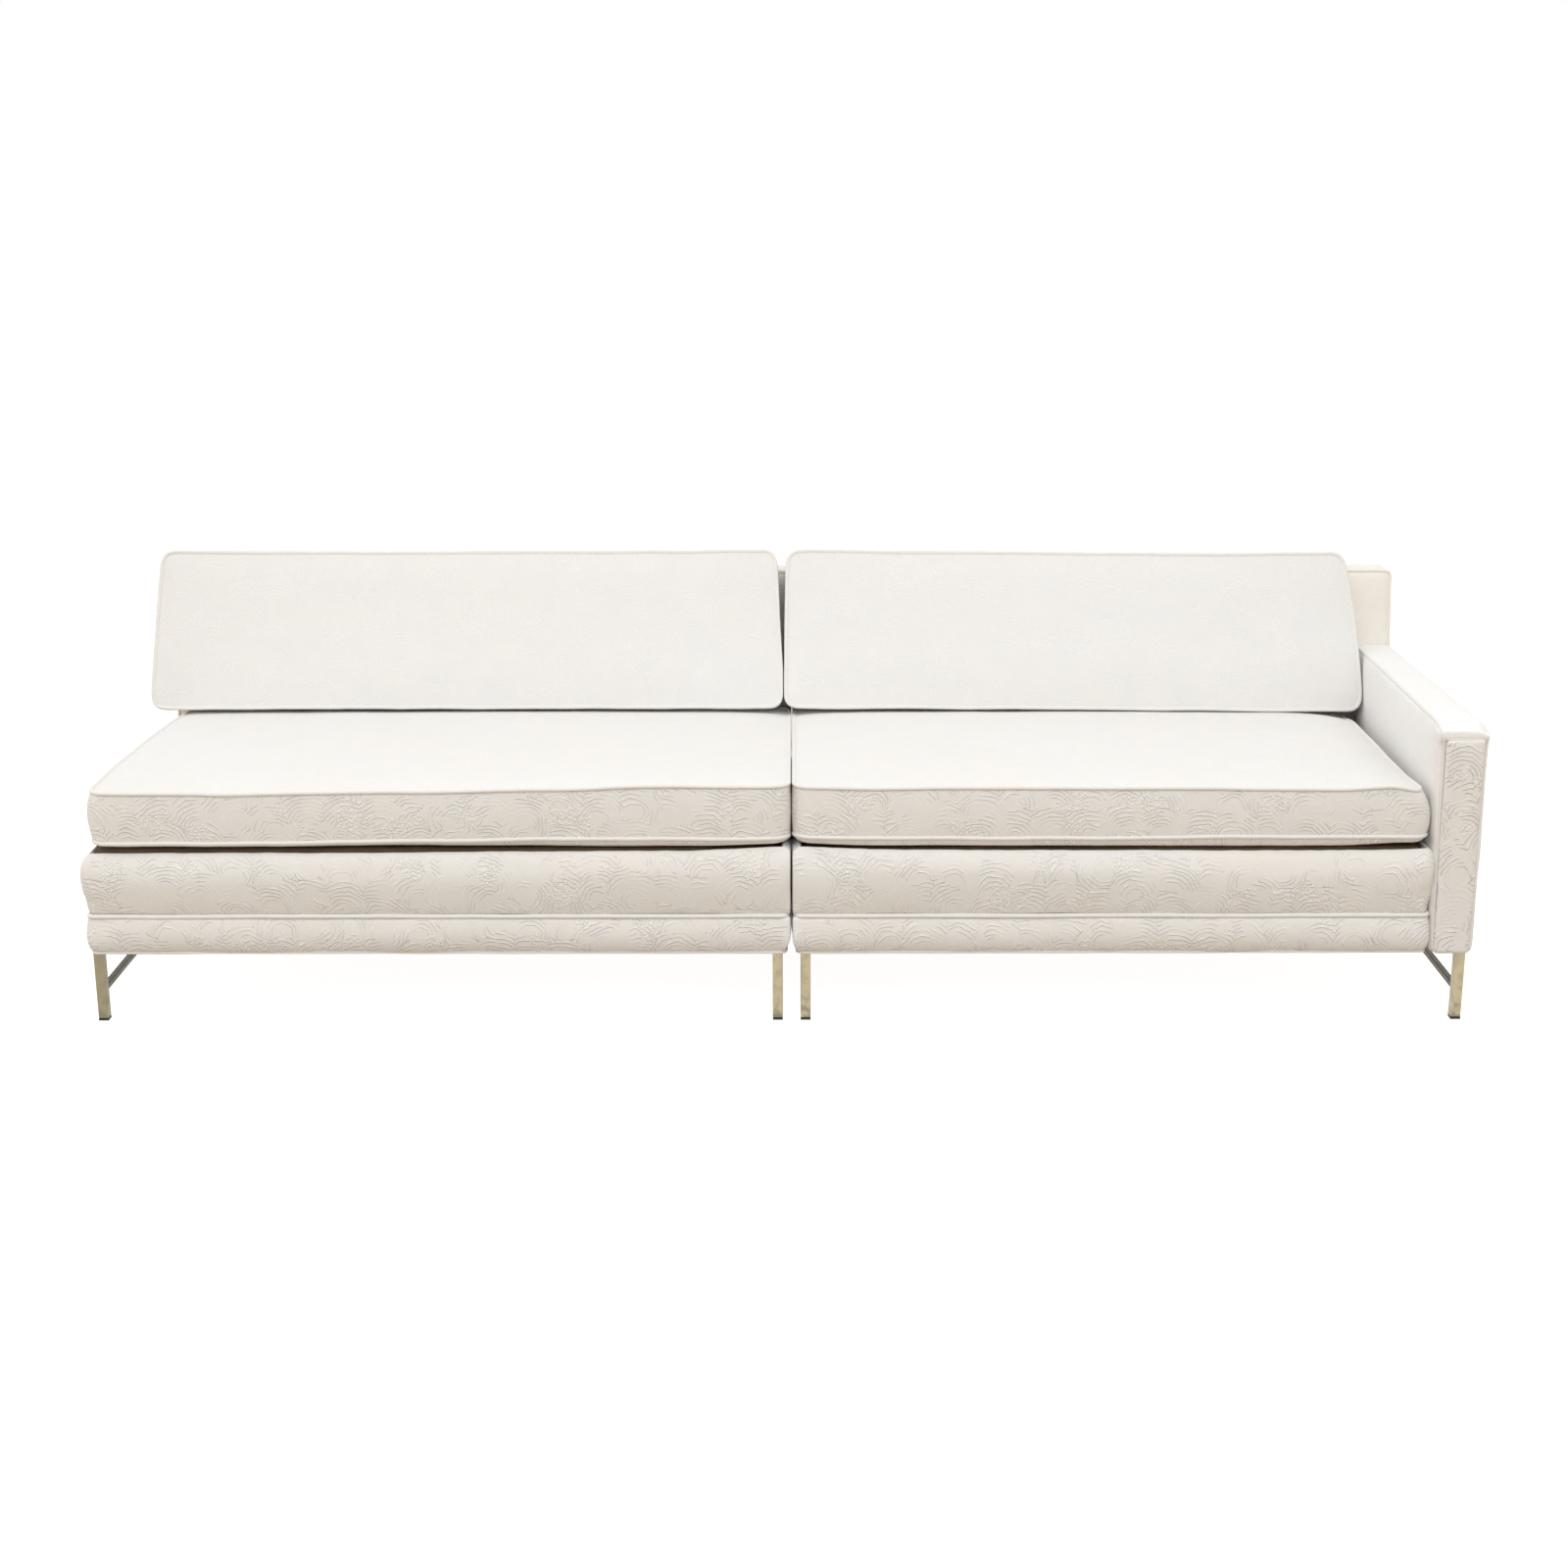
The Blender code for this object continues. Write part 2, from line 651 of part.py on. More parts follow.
def make_arm_panel(unit, cover):
    """Front panel that stands flush in a recess of the arm's cover."""
    prefix, parent = unit["prefix"], unit["empty"]
    right = unit["right"]
    rear = ARM_PANEL_THICKNESS
    low, high = FLOOR_CLEARANCE, ARM_PANEL_TOP
    outline = [(0, low), (0, high), (rear, high), (rear, low)]
    mesh = prism_along_x(prefix + "arm_front_panel", outline, lambda z: arm_inner_face(unit, z), right)
    panel = place(prefix + "arm_front_panel", mesh, parent, (0, 0, 0), FABRIC)
    bevel(panel, ARM_PANEL_EDGE_ROUND, ARM_PANEL_ROUND_SEGMENTS)
    recess_low = (right - ARM_TOP_THICKNESS - OVERRUN, -OVERRUN, low - OVERRUN)
    recess_high = (right + OVERRUN, rear + GAP, high + GAP)
    cut(cover, box(prefix + "arm_recess", parent, recess_low, recess_high, LINING))


def eased(count):
    """Numbers from -1 to 1, closer together towards both ends."""
    return [math.sin(QUARTER_TURN * (2 * i / count - 1)) for i in range(count + 1)]


def cushion_outline(u, v, width, depth, draw_in, radius, straight_front):
    """Plan place of a grid point: sides drawn in between corners, corners rounded."""
    x = u * (width / 2 - draw_in * (1 - v * v))
    y = v * depth / 2
    if v > 0 or not straight_front:
        y -= v * draw_in * (1 - u * u)
    corner_x = width / 2 - radius
    corner_y = depth / 2 - radius
    over_x = abs(x) - corner_x
    over_y = abs(y) - corner_y
    if over_x > 0 and over_y > 0:
        reach = math.hypot(over_x, over_y)
        square = max(over_x, over_y)
        x = math.copysign(corner_x + over_x * square / reach, x)
        y = math.copysign(corner_y + over_y * square / reach, y)
    return x, y


def cushion_mesh(name, size, crown, bulge, draw_in, radius, straight_front=False):
    """Boxed cushion: crowned top and underside, and a boxing that swells between the welts.

    size is (width, depth, boxing height) over the boxing's swell, crown is (top, under). A cushion
    that stands on its front edge keeps that edge straight.
    """
    width, depth, boxing = size
    welt_width = width - 2 * bulge
    welt_depth = depth - 2 * bulge
    us = eased(CUSHION_COLUMNS)
    vs = eased(CUSHION_ROWS)
    shape = bmesh.new()
    sheets = []
    for side, rise, share in ((1, crown[0], CROWN_SHARE), (-1, crown[1], UNDER_CROWN_SHARE)):
        sheet = []
        for v in vs:
            row = []
            for u in us:
                x, y = cushion_outline(u, v, welt_width, welt_depth, draw_in, radius, straight_front)
                dome = (max(0, 1 - u * u) * max(0, 1 - v * v)) ** (share / 2)
                row.append(shape.verts.new((x, y, side * (boxing / 2 + rise * dome))))
            sheet.append(row)
        sheets.append(sheet)
        for j in range(CUSHION_ROWS):
            for i in range(CUSHION_COLUMNS):
                shape.faces.new((sheet[j][i], sheet[j][i + 1], sheet[j + 1][i + 1], sheet[j + 1][i]))
    rims = [cushion_rim(sheet) for sheet in sheets]
    bands = [rims[0]]
    count = len(rims[0])
    for row in range(1, BOXING_ROWS):
        share = row / BOXING_ROWS
        swell = bulge * math.sin(math.pi * share)
        band = []
        for i in range(count):
            top = rims[0][i].co
            along = rims[0][(i + 1) % count].co - rims[0][i - 1].co
            out = Vector((along.y, -along.x, 0)).normalized()
            place_on_side = top.lerp(rims[1][i].co, share) + out * swell
            band.append(shape.verts.new(place_on_side))
        bands.append(band)
    bands.append(rims[1])
    for first, second in zip(bands, bands[1:]):
        for i in range(count):
            j = (i + 1) % count
            shape.faces.new((first[i], first[j], second[j], second[i]))
    return mesh_from(name, shape, smooth=True)


def cushion_rim(sheet):
    """The sheet's edge vertices in order, counter-clockwise from above."""
    front = sheet[0]
    right = [row[-1] for row in sheet[1:]]
    rear = sheet[-1][-2::-1]
    left = [row[0] for row in sheet[-2:0:-1]]
    return front + right + rear + left


def make_seat_cushion(unit):
    """Loose seat cushion, resting on the deck in front of the back frame."""
    bottom_welt = DECK_TOP + GAP + SEAT_UNDER_CROWN
    rear = back_front_at(bottom_welt) - SEAT_REAR_PLAY
    depth = rear - SEAT_FRONT_SETBACK
    left, right = unit["seat_span"]
    size = (right - left, depth, SEAT_BOXING)
    crown = (SEAT_CROWN, SEAT_UNDER_CROWN)
    name = unit["prefix"] + "seat_cushion"
    mesh = cushion_mesh(name, size, crown, SEAT_SIDE_BULGE, SEAT_DRAW_IN, SEAT_CORNER_RADIUS)
    location = ((left + right) / 2, SEAT_FRONT_SETBACK + depth / 2, bottom_welt + SEAT_BOXING / 2)
    return place(name, mesh, unit["empty"], location, FABRIC)


def outer_tree(item):
    """Search tree of the tight outer form of a soft object, in world space."""
    bpy.context.view_layer.update()
    form = bmesh.new()
    form.from_mesh(item.data)
    form.transform(item.matrix_world)
    hull = bmesh.ops.convex_hull(form, input=form.verts)
    inside = [piece for piece in hull["geom_interior"] if isinstance(piece, bmesh.types.BMVert)]
    bmesh.ops.delete(form, geom=inside, context="VERTS")
    tree = BVHTree.FromBMesh(form)
    form.free()
    return tree


def lower_until_seated(upper, lower, along):
    """Slide one object down a direction until it all but touches the other."""
    lower_tree = outer_tree(lower)
    step = BACK_CUSHION_HEIGHT * SEATING_STEP_SHARE
    while step > GAP * SEATING_SHARE:
        upper.location += along * step
        if outer_tree(upper).overlap(lower_tree):
            upper.location -= along * step
            step /= 2
    upper.location -= along * GAP


def taper_back_cushion(mesh, width):
    """Thin the cushion towards its top, where it is a little narrower too; its rear stays flat."""
    rear = -BACK_BOXING / 2
    for vertex in mesh.vertices:
        share = vertex.co.y / BACK_CUSHION_HEIGHT + 1 / 2
        vertex.co.x *= 1 - share * BACK_TOP_NARROWING / width
        if vertex.co.z > rear:
            thin = 1 - share * (1 - BACK_BOXING_TOP / BACK_BOXING)
            vertex.co.z = rear + (vertex.co.z - rear) * thin


def make_back_cushion(unit, seat):
    """Loose back cushion, leaning on the back frame and standing on the seat cushion."""
    name = unit["prefix"] + "back_cushion"
    left, right = unit["back_span"]
    size = (right - left, BACK_CUSHION_HEIGHT, BACK_BOXING)
    crown = (BACK_CROWN, BACK_REAR_CROWN)
    mesh = cushion_mesh(name, size, crown, BACK_SIDE_BULGE, BACK_DRAW_IN, BACK_CORNER_RADIUS, True)
    taper_back_cushion(mesh, right - left)
    up_slope = Vector((0, math.sin(BACK_RAKE), math.cos(BACK_RAKE)))
    away = Vector((0, -math.cos(BACK_RAKE), math.sin(BACK_RAKE)))
    start_height = DECK_TOP + SEAT_BOXING + SEAT_CROWN + SEAT_UNDER_CROWN + BACK_CUSHION_HEIGHT
    start = Vector(((left + right) / 2, back_front_at(start_height), start_height))
    start += away * (BACK_BOXING / 2 + BACK_REAR_CROWN + GAP)
    turn = (QUARTER_TURN - BACK_RAKE, 0, 0)
    cushion = place(name, mesh, unit["empty"], start, FABRIC, turn)
    lower_until_seated(cushion, seat, -up_slope)
    return cushion


def make_unit(unit):
    """Every piece of one unit."""
    make_rails(unit)
    make_dust_cover(unit)
    make_springs(unit)
    make_deck_pad(unit)
    make_bands(unit)
    make_legs(unit)
    make_back(unit)
    if unit["has_arm"]:
        make_arm(unit)
    seat = make_seat_cushion(unit)
    make_back_cushion(unit, seat)


def armless_unit(root):
    """Left unit; the platform fills its whole width."""
    half = ARMLESS_WIDTH / 2
    return {
        "prefix": "armless_",
        "empty": empty("armless_unit", root, (-GAP / 2 - half, 0, 0)),
        "platform_width": ARMLESS_WIDTH,
        "left": -half,
        "right": half,
        "left_leg_inset": LEG_INSET_OUTER,
        "right_leg_inset": LEG_INSET_INNER,
        "seat_span": (-half + SEAT_OUTER_SETBACK, half - SEAT_INNER_SETBACK),
        "back_span": (-half - BACK_OUTER_OVERHANG, half - BACK_INNER_SETBACK),
        "has_arm": False,
    }


def arm_unit(root):
    """Right unit; the platform stops at the arm's inner face."""
    platform = ARM_UNIT_WIDTH - arm_thickness(DECK_TOP - BAND_SHOULDER) - GAP
    half = platform / 2
    right = ARM_UNIT_WIDTH - half
    arm_face = right - arm_thickness(DECK_TOP)
    return {
        "prefix": "arm_unit_",
        "empty": empty("arm_unit", root, (GAP / 2 + half, 0, 0)),
        "platform_width": platform,
        "left": -half,
        "right": right,
        "left_leg_inset": LEG_INSET_INNER,
        "right_leg_inset": LEG_INSET_ARM,
        "seat_span": (-half + SEAT_INNER_SETBACK, arm_face - SEAT_ARM_PLAY),
        "back_span": (-half - BACK_INNER_OVERHANG, arm_face - BACK_ARM_PLAY),
        "has_arm": True,
    }


def centre_on_floor(root):
    """Move the whole sofa so that its box is centred over the origin."""
    bpy.context.view_layer.update()
    depsgraph = bpy.context.evaluated_depsgraph_get()
    low = Vector((math.inf, math.inf, math.inf))
    high = -low
    for item in bpy.data.objects:
        if item.type != "MESH" or item.hide_render:
            continue
        whole = item.evaluated_get(depsgraph)
        for vertex in whole.data.vertices:
            point = whole.matrix_world @ vertex.co
            low = Vector(map(min, low, point))
            high = Vector(map(max, high, point))
    root.location -= Vector((low.x + high.x, low.y + high.y, 0)) / 2


def main():
    clear_scene()
    root = empty("sofa", None, (0, 0, 0))
    make_unit(armless_unit(root))
    make_unit(arm_unit(root))
    centre_on_floor(root)


main()
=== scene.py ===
"""Dressed sectional sofa: fabric, welts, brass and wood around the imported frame.

Metres, +Z up, the front faces -Y. Each operator makes one piece or one group of like pieces, and
main() runs them in order. The forms follow the solids of the frame, which they stand for.
"""

import json
import math
from fnmatch import fnmatch

import bmesh
import bpy
import numpy as np
from bpy.props import FloatProperty, FloatVectorProperty, PointerProperty
from mathutils import Matrix, Vector, noise
from mathutils.bvhtree import BVHTree

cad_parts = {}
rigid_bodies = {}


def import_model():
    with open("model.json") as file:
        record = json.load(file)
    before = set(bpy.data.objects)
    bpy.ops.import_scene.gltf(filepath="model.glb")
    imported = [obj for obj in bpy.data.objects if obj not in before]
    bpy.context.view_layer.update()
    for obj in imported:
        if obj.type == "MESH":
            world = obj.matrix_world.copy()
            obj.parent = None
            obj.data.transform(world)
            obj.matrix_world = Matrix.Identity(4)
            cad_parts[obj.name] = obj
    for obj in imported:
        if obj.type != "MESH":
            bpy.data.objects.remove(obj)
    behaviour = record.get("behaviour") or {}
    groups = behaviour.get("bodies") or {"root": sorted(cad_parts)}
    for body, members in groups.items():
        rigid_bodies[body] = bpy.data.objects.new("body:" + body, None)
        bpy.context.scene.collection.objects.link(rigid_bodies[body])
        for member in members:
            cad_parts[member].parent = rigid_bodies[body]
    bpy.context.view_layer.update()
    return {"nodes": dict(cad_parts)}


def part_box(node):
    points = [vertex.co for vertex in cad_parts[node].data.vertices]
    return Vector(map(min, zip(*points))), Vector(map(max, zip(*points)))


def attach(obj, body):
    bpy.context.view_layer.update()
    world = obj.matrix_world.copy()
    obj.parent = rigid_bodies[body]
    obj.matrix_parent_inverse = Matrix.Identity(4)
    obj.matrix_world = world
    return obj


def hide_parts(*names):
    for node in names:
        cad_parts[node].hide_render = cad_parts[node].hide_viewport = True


bl_info = {
    "name": "Sectional Sofa Dressing",
    "version": (1, 0, 0),
    "blender": (4, 5, 0),
    "location": "View3D > Sidebar > Sofa",
    "description": "Dresses a two-unit sectional sofa around its packed frame",
    "category": "Object",
}

# The noise that makes pads and seams uneven is the same in every run
NOISE_SEED = 7
noise.seed_set(NOISE_SEED)

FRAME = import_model()

# The two units: the bodies of their frames, and the side on which each meets the other
SECTION_BODY = {"armless": "armless_section", "arm_unit": "arm_section"}
INNER_SIDE = {"armless": 1, "arm_unit": -1}
UNITS = tuple(SECTION_BODY)

# Forms shared with the frame's solids
JUNCTION = (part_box("armless_seat_band")[1].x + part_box("arm_unit_seat_band")[0].x) / 2
BACK_RAKE = math.radians(10)
BACK_SLOPE = math.tan(BACK_RAKE)
QUARTER_TURN = math.pi / 2

# Where two soft pieces meet: the gap, and the groove that it widens to near their front faces
GAP = 0.0003
GROOVE_DEPTH = 0.05
BAND_GROOVE = 0.0019
COVER_GROOVE = 0.0008

# Places in the cloth, in metres: their steps between two pieces, the cloth's length, and how
# far the places on a pad's sides, front and top lie apart
UV_MAP = "cloth_metres"
CUT_STEP = (0.313, 0.171)
CUT_RANGE = 3.0
FACE_SHIFT = (0.37, 0.21)

# Cloth: frames of swelling, and how the fabric behaves while it swells
SWELL_FRAMES = 20
CLOTH_VALUES = {
    "quality": 5,
    "mass": 0.25,
    "tension_stiffness": 18,
    "compression_stiffness": 18,
    "shear_stiffness": 6,
    "bending_stiffness": 0.8,
    "use_pressure": True,
}

# Photograph's viewpoint, found from the object's corners
CAMERA_PLACE = (0.0400, -4.2043, 1.5133)
CAMERA_PITCH = math.radians(15.562)
CAMERA_YAW = math.radians(-0.318)
CAMERA_ROLL = math.radians(-0.181)
CAMERA_LENS = 51.98
CAMERA_SENSOR = 36


class FabricSettings(bpy.types.PropertyGroup):
    """The cream fabric with its raised arcs."""

    colour: FloatVectorProperty(
        name="Fabric", description="Ground of the fabric", subtype="COLOR", size=3,
        default=(0.806, 0.79, 0.758), min=0, max=1,
    )
    # The raised lines are painted lighter than the ground: a painted highlight for the light they catch
    raised_highlight: FloatVectorProperty(
        name="Raised lines", description="Colour of the raised lines", subtype="COLOR", size=3,
        default=(0.95, 0.935, 0.91), min=0, max=1,
    )
    motif_size: FloatProperty(
        name="Motif size", description="Width of one fan of arcs", subtype="DISTANCE",
        default=0.064, min=0.01, max=0.3,
    )
    motif_height: FloatProperty(
        name="Motif height", description="How far the raised lines stand", subtype="DISTANCE",
        default=0.0013, min=0, max=0.005,
    )
    # Share of the raised lines, with their painted highlight, left where the cloth faces up, as the light
    # from above shows them less there
    upward_motif: FloatProperty(
        name="Pattern facing up", description="Share of the pattern left where the cloth faces up",
        default=0.25, min=0, max=1,
    )
    thread_pitch: FloatProperty(
        name="Thread pitch", description="Spacing of the threads", subtype="DISTANCE",
        default=0.0016, min=0.0003, max=0.01,
    )
    welt_radius: FloatProperty(
        name="Welt radius", description="Radius of the piped cords", subtype="DISTANCE",
        default=0.0042, min=0.001, max=0.02,
    )


class CushionSettings(bpy.types.PropertyGroup):
    """The four loose cushions."""

    step: FloatProperty(
        name="Mesh step", description="Size of a cushion's faces before subdivision",
        subtype="DISTANCE", default=0.0105, min=0.004, max=0.05,
    )
    seat_crown: FloatProperty(
        name="Seat crown", description="Rise of the seat cushion's top", subtype="DISTANCE",
        default=0.012, min=0, max=0.06,
    )
    seat_under_crown: FloatProperty(
        name="Seat underside", description="Swell of the seat cushion's underside",
        subtype="DISTANCE", default=0.0142, min=0, max=0.06,
    )
    back_crown: FloatProperty(
        name="Back crown", description="Swell of the back cushion's front", subtype="DISTANCE",
        default=0.016, min=0, max=0.06,
    )
    back_rear_crown: FloatProperty(
        name="Back rear crown", description="Swell of the back cushion's rear",
        subtype="DISTANCE", default=0.006, min=0, max=0.06,
    )
    back_boxing: FloatProperty(
        name="Back boxing", description="Thickness of the back cushion at its foot",
        subtype="DISTANCE", default=0.100, min=0.02, max=0.3,
    )
    back_boxing_top: FloatProperty(
        name="Back boxing at top", description="Thickness of the back cushion at its top",
        subtype="DISTANCE", default=0.060, min=0.02, max=0.3,
    )
    corner_radius: FloatProperty(
        name="Corner radius", description="Radius of the corners in plan", subtype="DISTANCE",
        default=0.034, min=0.005, max=0.1,
    )
    back_corner_radius: FloatProperty(
        name="Back corner radius", description="Radius of the back cushions' corners",
        subtype="DISTANCE", default=0.024, min=0.005, max=0.1,
    )
    pressure: FloatProperty(
        name="Filling pressure", description="Pressure that swells the cloth",
        default=4.0, min=0, max=50,
    )
    swell: FloatProperty(
        name="Swell limit", description="How far the pressure may move a point",
        subtype="DISTANCE", default=0.0045, min=0, max=0.04,
    )


class PaddingSettings(bpy.types.PropertyGroup):
    """Bands, back covers, arm and deck."""

    step: FloatProperty(
        name="Mesh step", description="Size of a pad's faces before subdivision",
        subtype="DISTANCE", default=0.010, min=0.004, max=0.05,
    )
    band_swell: FloatProperty(
        name="Band swell", description="How far the upper band stands out above its foot",
        subtype="DISTANCE", default=0.0105, min=0, max=0.03,
    )
    shoulder: FloatProperty(
        name="Shoulder", description="Height of the upper band's rolled edge",
        subtype="DISTANCE", default=0.040, min=0.005, max=0.06,
    )
    edge_round: FloatProperty(
        name="Edge radius", description="Radius of the arm's upper edges", subtype="DISTANCE",
        default=0.010, min=0.002, max=0.03,
    )
    pressure: FloatProperty(
        name="Padding pressure", description="Pressure that swells the padding",
        default=3.0, min=0, max=50,
    )
    swell: FloatProperty(
        name="Swell limit", description="How far the pressure may move a point",
        subtype="DISTANCE", default=0.0025, min=0, max=0.02,
    )


class FrameSettings(bpy.types.PropertyGroup):
    """Brass, steel, wood, the deck cloth that is dark as painted shade, and glides."""

    brass: FloatVectorProperty(
        name="Brass", description="Bright brass of the legs", subtype="COLOR", size=3,
        default=(0.415, 0.378, 0.264), min=0, max=1,
    )
    tarnish: FloatVectorProperty(
        name="Tarnish", description="Dull brass near the feet", subtype="COLOR", size=3,
        default=(0.20, 0.195, 0.145), min=0, max=1,
    )
    # The deck cloth is dark so that the gaps under the seat cushions look deep in shade: painted shade
    lining: FloatVectorProperty(
        name="Deck shade", description="Deck and dust cover cloth", subtype="COLOR", size=3,
        default=(0.13, 0.095, 0.06), min=0, max=1,
    )
    wood: FloatVectorProperty(
        name="Wood", description="Frame timber", subtype="COLOR", size=3,
        default=(0.52, 0.36, 0.20), min=0, max=1,
    )


class StageSettings(bpy.types.PropertyGroup):
    """Floor, light and camera."""

    floor_size: FloatProperty(
        name="Floor size", description="Side of the floor", subtype="DISTANCE",
        default=60, min=4, max=200,
    )
    overhead: FloatProperty(
        name="Overhead light", description="Power of the light above", subtype="POWER",
        default=42, min=0, max=5000,
    )
    side: FloatProperty(
        name="Side light", description="Power of the light on the left", subtype="POWER",
        default=28, min=0, max=5000,
    )
    surround: FloatProperty(
        name="Surrounding light", description="Strength of the even light all round",
        default=1.0, min=0, max=5,
    )


class SofaSettings(bpy.types.PropertyGroup):
    """All settings of the dressed sofa."""

    fabric: PointerProperty(type=FabricSettings)
    cushions: PointerProperty(type=CushionSettings)
    padding: PointerProperty(type=PaddingSettings)
    frame: PointerProperty(type=FrameSettings)
    stage: PointerProperty(type=StageSettings)


def settings_of(context):
    """The scene's own settings."""
    return context.scene.sofa


# Shares


def between(pair, share):
    """Value that runs from the first of a pair to the second."""
    return pair[0] + (pair[1] - pair[0]) * share


def clamped(share):
    """A share kept between 0 and 1."""
    return min(1.0, max(0.0, share))


def smooth_share(share):
    """Eased step from 0 to 1."""
    share = clamped(share)
    return share * share * (3 - 2 * share)


def eased_between(table, share):
    """Smooth reading of a table of (place, value) at a place."""
    for (place_a, value_a), (place_b, value_b) in zip(table, table[1:]):
        if share <= place_b:
            part = smooth_share((share - place_a) / (place_b - place_a))
            return between((value_a, value_b), part)
    return table[-1][1]


# Shader nodes


def add_node(tree, kind, sockets=None, **values):
    """A shader node; sockets given as other nodes' outputs are linked, other values are set."""
    node = tree.nodes.new(kind)
    for name, value in values.items():
        setattr(node, name, value)
    for key, value in (sockets or {}).items():
        if isinstance(value, bpy.types.NodeSocket):
            tree.links.new(value, node.inputs[key])
        else:
            node.inputs[key].default_value = value
    return node


def calculate(tree, operation, first, second=0.0, third=0.5):
    """Output of a math node."""
    sockets = {0: first, 1: second, 2: third}
    return add_node(tree, "ShaderNodeMath", sockets, operation=operation).outputs[0]


def vector_result(tree, operation, first, second):
    """Output of a vector math node."""
    node = add_node(tree, "ShaderNodeVectorMath", {0: first, 1: second}, operation=operation)
    return node.outputs["Value"] if operation in ("DISTANCE", "LENGTH") else node.outputs["Vector"]


def ramp(tree, value, low, high, to_low=0.0, to_high=1.0):
    """Smooth step from one value to another."""
    sockets = {"Value": value, 1: low, 2: high, 3: to_low, 4: to_high}
    return add_node(tree, "ShaderNodeMapRange", sockets, interpolation_type="SMOOTHSTEP").outputs[0]


def mix_colour(tree, share, first, second):
    """Blend of two colours."""
    sockets = {"Factor": share, "A": first, "B": second}
    return add_node(tree, "ShaderNodeMix", sockets, data_type="RGBA").outputs["Result"]


def noise_value(tree, vector, scale, detail=2.0):
    """Even noise from 0 to 1."""
    sockets = {"Vector": vector, "Scale": scale, "Detail": detail}
    return add_node(tree, "ShaderNodeTexNoise", sockets).outputs["Fac"]


def fill_motif(tree, given):
    """Fans of concentric arcs with hand-drawn edges, and patches of small dots."""
    place, size = given["Vector"], given["Motif Size"]
    per_metre = calculate(tree, "DIVIDE", 1.0, size)
    sway = add_node(tree, "ShaderNodeTexNoise", {"Vector": place, "Scale": 26.0, "Detail": 2.0})
    centred = vector_result(tree, "SUBTRACT", sway.outputs["Color"], (0.5, 0.5, 0.5))
    shift = add_node(tree, "ShaderNodeVectorMath", {0: centred, "Scale": 0.022}, operation="SCALE")
    drawn = vector_result(tree, "ADD", place, shift.outputs["Vector"])
    cells = add_node(
        tree, "ShaderNodeTexVoronoi", {"Vector": drawn, "Scale": per_metre, "Randomness": 0.8},
        voronoi_dimensions="2D",
    )
    chance = add_node(tree, "ShaderNodeSeparateColor", {0: cells.outputs["Color"]}).outputs[0]
    lean = ramp(tree, chance, 0.0, 1.0, -0.9, 0.9)
    toward = add_node(tree, "ShaderNodeCombineXYZ", {
        0: calculate(tree, "SINE", lean), 1: calculate(tree, "COSINE", lean),
    }).outputs[0]
    reach_down = calculate(tree, "MULTIPLY", size, 0.5)
    drop = add_node(tree, "ShaderNodeVectorMath", {0: toward, "Scale": reach_down}, operation="SCALE")
    foot = vector_result(tree, "SUBTRACT", cells.outputs["Position"], drop.outputs["Vector"])
    reach = vector_result(tree, "DISTANCE", drawn, foot)
    outside = ramp(tree, calculate(tree, "DIVIDE", reach, size), 0.22, 0.34)
    pitch = calculate(tree, "DIVIDE", size, given["Arcs"])
    half_pitch = calculate(tree, "MULTIPLY", pitch, 0.5)
    wave = calculate(tree, "DIVIDE", calculate(tree, "PINGPONG", reach, half_pitch), half_pitch)
    arcs = calculate(tree, "MULTIPLY", ramp(tree, wave, 0.55, 0.95), outside)
    patches = ramp(tree, noise_value(tree, place, 15.0, 1.0), 0.36, 0.54, 0.15, 1.0)
    strokes = ramp(tree, noise_value(tree, place, 38.0, 0.0), 0.36, 0.46)
    fans = calculate(tree, "MULTIPLY", arcs, calculate(tree, "MULTIPLY", patches, strokes))
    pebbles = add_node(
        tree, "ShaderNodeTexVoronoi", {"Vector": place, "Scale": 150.0}, voronoi_dimensions="2D"
    )
    dots = ramp(tree, pebbles.outputs["Distance"], 0.15, 0.45, 1.0, 0.0)
    dot_patches = ramp(tree, noise_value(tree, place, 15.0, 0.0), 0.60, 0.66, 0.0, 0.7)
    dotted = calculate(tree, "MULTIPLY", dots, dot_patches)
    raised = calculate(tree, "MAXIMUM", fans, dotted)
    return {"Raised": raised}


# Share of the weave's height that the threads make; uneven slubs make the rest
THREAD_SHARE = 0.6


def fill_weave(tree, given):
    """Threads that cross over and under, with uneven slubs."""
    sway = noise_value(tree, given["Vector"], 60.0)
    turns = calculate(tree, "DIVIDE", 2 * math.pi, given["Thread Pitch"])
    parts = add_node(tree, "ShaderNodeSeparateXYZ", {0: given["Vector"]})
    waves = []
    for axis in ("X", "Y"):
        angle = calculate(tree, "MULTIPLY", parts.outputs[axis], turns)
        angle = calculate(tree, "ADD", angle, calculate(tree, "MULTIPLY", sway, 4.0))
        waves.append(calculate(tree, "SINE", angle))
    crossing = calculate(tree, "MULTIPLY", *waves)
    threads = calculate(tree, "MULTIPLY_ADD", crossing, 0.5, 0.5)
    slubs = noise_value(tree, given["Vector"], 420.0, 1.0)
    slubs = calculate(tree, "MULTIPLY", slubs, 1 - THREAD_SHARE)
    return {"Height": calculate(tree, "ADD", calculate(tree, "MULTIPLY", threads, THREAD_SHARE), slubs)}


def fill_soiling(tree, given):
    """Broad uneven tone, warmer in one place and cooler in another."""
    colour = given["Color"]
    for stain, scale, detail, low, high in (("Warm", 3.2, 3.0, 0.35, 0.65), ("Cool", 17.0, 2.0, 0.3, 0.7)):
        patches = ramp(tree, noise_value(tree, given["Vector"], scale, detail), low, high)
        share = calculate(tree, "MULTIPLY", patches, given["Amount"])
        colour = mix_colour(tree, share, colour, given[stain])
    return {"Color": colour}


